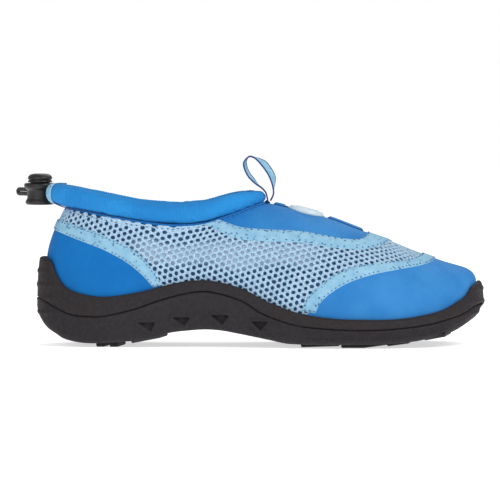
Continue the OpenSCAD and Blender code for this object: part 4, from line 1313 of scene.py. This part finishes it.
half = np.concatenate([np.arange(0, 50, 0.6), np.arange(50, 100, 0.22), np.arange(100, 180, 0.6), [180.0]])
ring = np.concatenate([-half[:0:-1], half[:-1]])
lo, hi = curve(GROOVE, fold(ring)) + 0.1, curve(RIM, fold(ring))
one = np.ones_like(ring)
lip = [(one * WALL_T, lo), (one * WALL_T, hi - 0.5), (one * 3.9, hi - 0.1), (one * 3.3, hi + 0.05),
       (one * 2.6, hi),
       (one * 2.0, hi - 0.25), (one * 1.55, hi - 0.8), (one * 1.2, mix(lo, hi, 0.85)),
       (one * 0.6, mix(lo, hi, 0.6)),
       (one * 0.3, mix(lo, hi, 0.3)), (one * 0.2, lo + 1.2), (one * 0.35, lo + 0.6), (one * 0.9, lo + 0.1),
       (one * 1.6, lo),
       (one * WALL_T, lo)]
rows = profile(lip, 74)
rand_grid = np.array([wall_point(ring, r[0], r[1]) for r in rows]).transpose(1, 0, 2)
make("rand_wall", surface(rand_grid, True, False), RAND_RUBBER, stands_for=["rand"],
     sharp=60)


def sole_side(a):
    g, x = curve(GROOVE, fold(a)), outline(a, 0)[:, 0]
    one = np.ones_like(a)

    def low(inset):
        return curve(BOTTOM, MID_X - (HALF_L - inset) * cosd(a))

    knots = [(one * WALL_T, g - 0.1), (one * 1.6, g - 0.1), (one * 0.9, g - 0.25), (one * 0.35, g - 0.7),
             (one * 0.15, g - 1.3),
             (one * 0.0, mix(g, curve(BOTTOM, x), 0.5)), (one * 0.3, low(0.3) + 3.2),
             (one * 0.7, low(0.7) + 2.2),
             (one * 1.4, low(1.4) + 1.3), (one * 3, low(3) + 0.4), (one * 5.5, low(5.5))]
    return profile(knots, 72)


left, right = (np.array([wall_point(s * half, *row) for row in sole_side(s * half)]) for s in (1, -1))
bottom_span = np.linspace(0, 1, 26)[1:-1, None, None]
floor = mix(left[-1][None], right[-1][None], bottom_span)
inset_x = MID_X - (HALF_L - WALL_T) * cosd(half)
bed = curve(BED, inset_x) - 4.0
lid = [outline(-half, WALL_T, bed), outline(half, WALL_T, bed)]
sole_grid = np.concatenate([left, floor, right[::-1], np.array(lid)]).transpose(1, 0, 2)
make("outsole_cup", surface(sole_grid, False, True), RUBBER, stands_for=["outsole"],
     sharp=50)

TREADS = [[[-85.5, 0], [-81, 0]], [[-78, 0], [-73.5, 0]], [[-66, 2], [-50, 4.9]], [[28.2, 0.2], [49, 0.8]],
          [[50.5, 0], [63, 0], [76, 1.7]], [[76, 0.9], [88, 2.4]], [[96.8, 3.8], [108.4, 5.8]]]
TREAD_BEND, TREAD_INSET, TREAD_ROOT, TREAD_STATIONS = 4.0, 9.0, 1.2, 41


def treads():
    lugs = Build()
    for line in TREADS:
        line = np.array(line, float)
        a = angle_at(line[0, 0])
        y0, y1 = outline(a, TREAD_INSET)[1], outline(-a, TREAD_INSET)[1]
        t = np.linspace(0, 1, TREAD_STATIONS)
        shrink = 0.6 * (1 - np.clip(np.minimum(t, 1 - t) / 0.02, 0, 1))
        bar = np.concatenate([line[:1] + [0, 0.35], line[:1] + [0.35, 0], line[1:-1],
                              line[-1:] + [-0.35, 0], line[-1:] + [0, 0.35]])
        x = np.concatenate([bar[:, 0], bar[::-1, 0]])[None] + TREAD_BEND * (1 - np.abs(2 * t - 1))[:, None]
        z = np.tile(np.concatenate([bar[:, 1], 0 * bar[:, 1]]), (len(t), 1))
        n = len(bar)
        z[:, :n] += shrink[:, None]
        z[:, n:] = np.maximum(curve(BOTTOM, x[:, n:]), bar[::-1, 1]) + TREAD_ROOT
        base = lugs.count
        lugs.grid(np.stack([x, mix(y0, y1, t)[:, None] + 0 * x, z], -1), ring_m=True)
        lugs.faces += [[base + k for k in range(2 * n)],
                       [base + (TREAD_STATIONS - 1) * 2 * n + k for k in range(2 * n)]]
    return lugs.all()


make("outsole_lugs", treads(), RUBBER, sharp=35)

DOT_R, DOT_H, DOT_ROWS, DOT_DROP = 0.5, 0.38, 7, 1.35


def grip_dots():
    """Small domes moulded in the wall beside the ball of the foot."""
    dots = Build()
    dome_f = circle(8)
    dome_r = np.array([1.0, 0.8, 0.5, 0.02])
    for s in (1, -1):
        for row in range(DOT_ROWS):
            for a in np.arange(101.5, 147, 0.95) + (0.475 if row % 2 else 0):
                g = float(curve(GROOVE, a))
                b = float(curve(BOTTOM, outline(a, 0)[0]))
                z = g - 2.2 - DOT_DROP * row
                if z < b + 2.4:
                    continue
                c = outline(s * a, 0.1, z)
                n = unit(np.cross(outline(s * a + 0.3, 0) - outline(s * a - 0.3, 0), [0, 0, 1.0])) * s
                n = n if np.dot(n[:2], c[:2] - [MID_X, 0]) > 0 else -n
                t = np.cross(n, [0, 0, 1.0])
                ring_pts = [c + DOT_R * r
                            * (np.cos(dome_f)[:, None] * t + np.sin(dome_f)[:, None] * [0, 0, 1.0])
                            + n * DOT_H * math.sqrt(1 - r * r) for r in dome_r]
                dots.grid(np.array(ring_pts), ring_m=True)
    return dots.all()


make("outsole_grip_dots", grip_dots(), RUBBER, sharp=80)

# ---- insole

INSOLE_INSET, INSOLE_TOP, INSOLE_FOOT = 10.2, 4.6, 1.75
cols, across = np.linspace(0, 180, 150), np.linspace(-1, 1, 41)
left_edge, right_edge = outline(cols, INSOLE_INSET), outline(-cols, INSOLE_INSET)
s = (across[None, :, None] + 1) / 2
flat = mix(left_edge[:, None], right_edge[:, None], s)
bed_z = curve(BED, flat[..., 0])
round_over = np.clip((1 - np.abs(across)) / 0.05, 0, 1)
crown = 0.5 * np.sin(round_over * np.pi / 2) + 0.5 * across[None] ** 2 - 0.6
upper_sheet, lower_sheet = flat.copy(), flat.copy()
upper_sheet[..., 2] = bed_z + INSOLE_TOP + crown
lower_sheet[..., 2] = bed_z + INSOLE_FOOT
make("insole_pad", sheet(upper_sheet, lower_sheet), INSOLE, stands_for=["insole"])

for node, material in (("midsole", FOAM), ("insole_board", BOARD)):
    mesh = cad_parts[node].data
    mesh.materials.clear()
    mesh.materials.append(material)

# ---- studio

def aim_from(obj, place, aim):
    obj.location = place
    obj.rotation_euler = (Vector(aim) - Vector(place)).to_track_quat("-Z", "Y").to_euler()


def light(name, energy, place, size):
    data = bpy.data.lights.new(name, "AREA")
    data.energy, data.shape, data.size = energy, "DISK", size
    aim_from(add_object(name, data), place, (0, 0, 0.05))


white = Nodes("studio_white")
white.finish((0.9, 0.9, 0.9, 1), 0.9, [(white.noise(20, 1), 0.01)])
white.bsdf.inputs["Emission Color"].default_value = (1, 1, 1, 1)
white.bsdf.inputs["Emission Strength"].default_value = 0.6
ground = bpy.data.meshes.new("studio_floor")
ground.from_pydata([(x, y, -0.0001) for y in (-8.0, 8.0) for x in (-8.0, 8.0)], [], grid_faces(2, 2).tolist())
ground.materials.append(white.mat)
add_object("studio_floor", ground)

world = bpy.data.worlds.new("studio")
world.use_nodes = True
world.node_tree.nodes["Background"].inputs["Color"].default_value = (1, 1, 1, 1)
seen = world.node_tree.nodes.new("ShaderNodeLightPath").outputs["Is Camera Ray"]
power = world.node_tree.nodes.new("ShaderNodeMapRange")
power.inputs["To Min"].default_value, power.inputs["To Max"].default_value = 0.45, 1.0
world.node_tree.links.new(seen, power.inputs["Value"])
world.node_tree.links.new(power.outputs["Result"], world.node_tree.nodes["Background"].inputs["Strength"])
bpy.context.scene.world = world
bpy.context.scene.view_settings.view_transform = "Standard"
light("key", 10.5, (0.75, -0.8, 1.05), 0.9)
light("fill", 3.2, (-0.6, -1.0, 0.6), 0.9)
light("rim", 3.0, (0.2, 0.8, 1.0), 0.8)

CAMERA_AIM = (0.0, 0.0, 0.0528)
CAMERA_RANGE = 4.655
CAMERA_LIFT = math.radians(2.5)
camera_data = bpy.data.cameras.new("camera")
camera_data.lens, camera_data.sensor_width = 600.0, 36.0
camera = add_object("camera", camera_data)
camera_height = CAMERA_AIM[2] + CAMERA_RANGE * math.sin(CAMERA_LIFT)
aim_from(camera, (0, -CAMERA_RANGE * math.cos(CAMERA_LIFT), camera_height), CAMERA_AIM)
bpy.context.scene.camera = camera
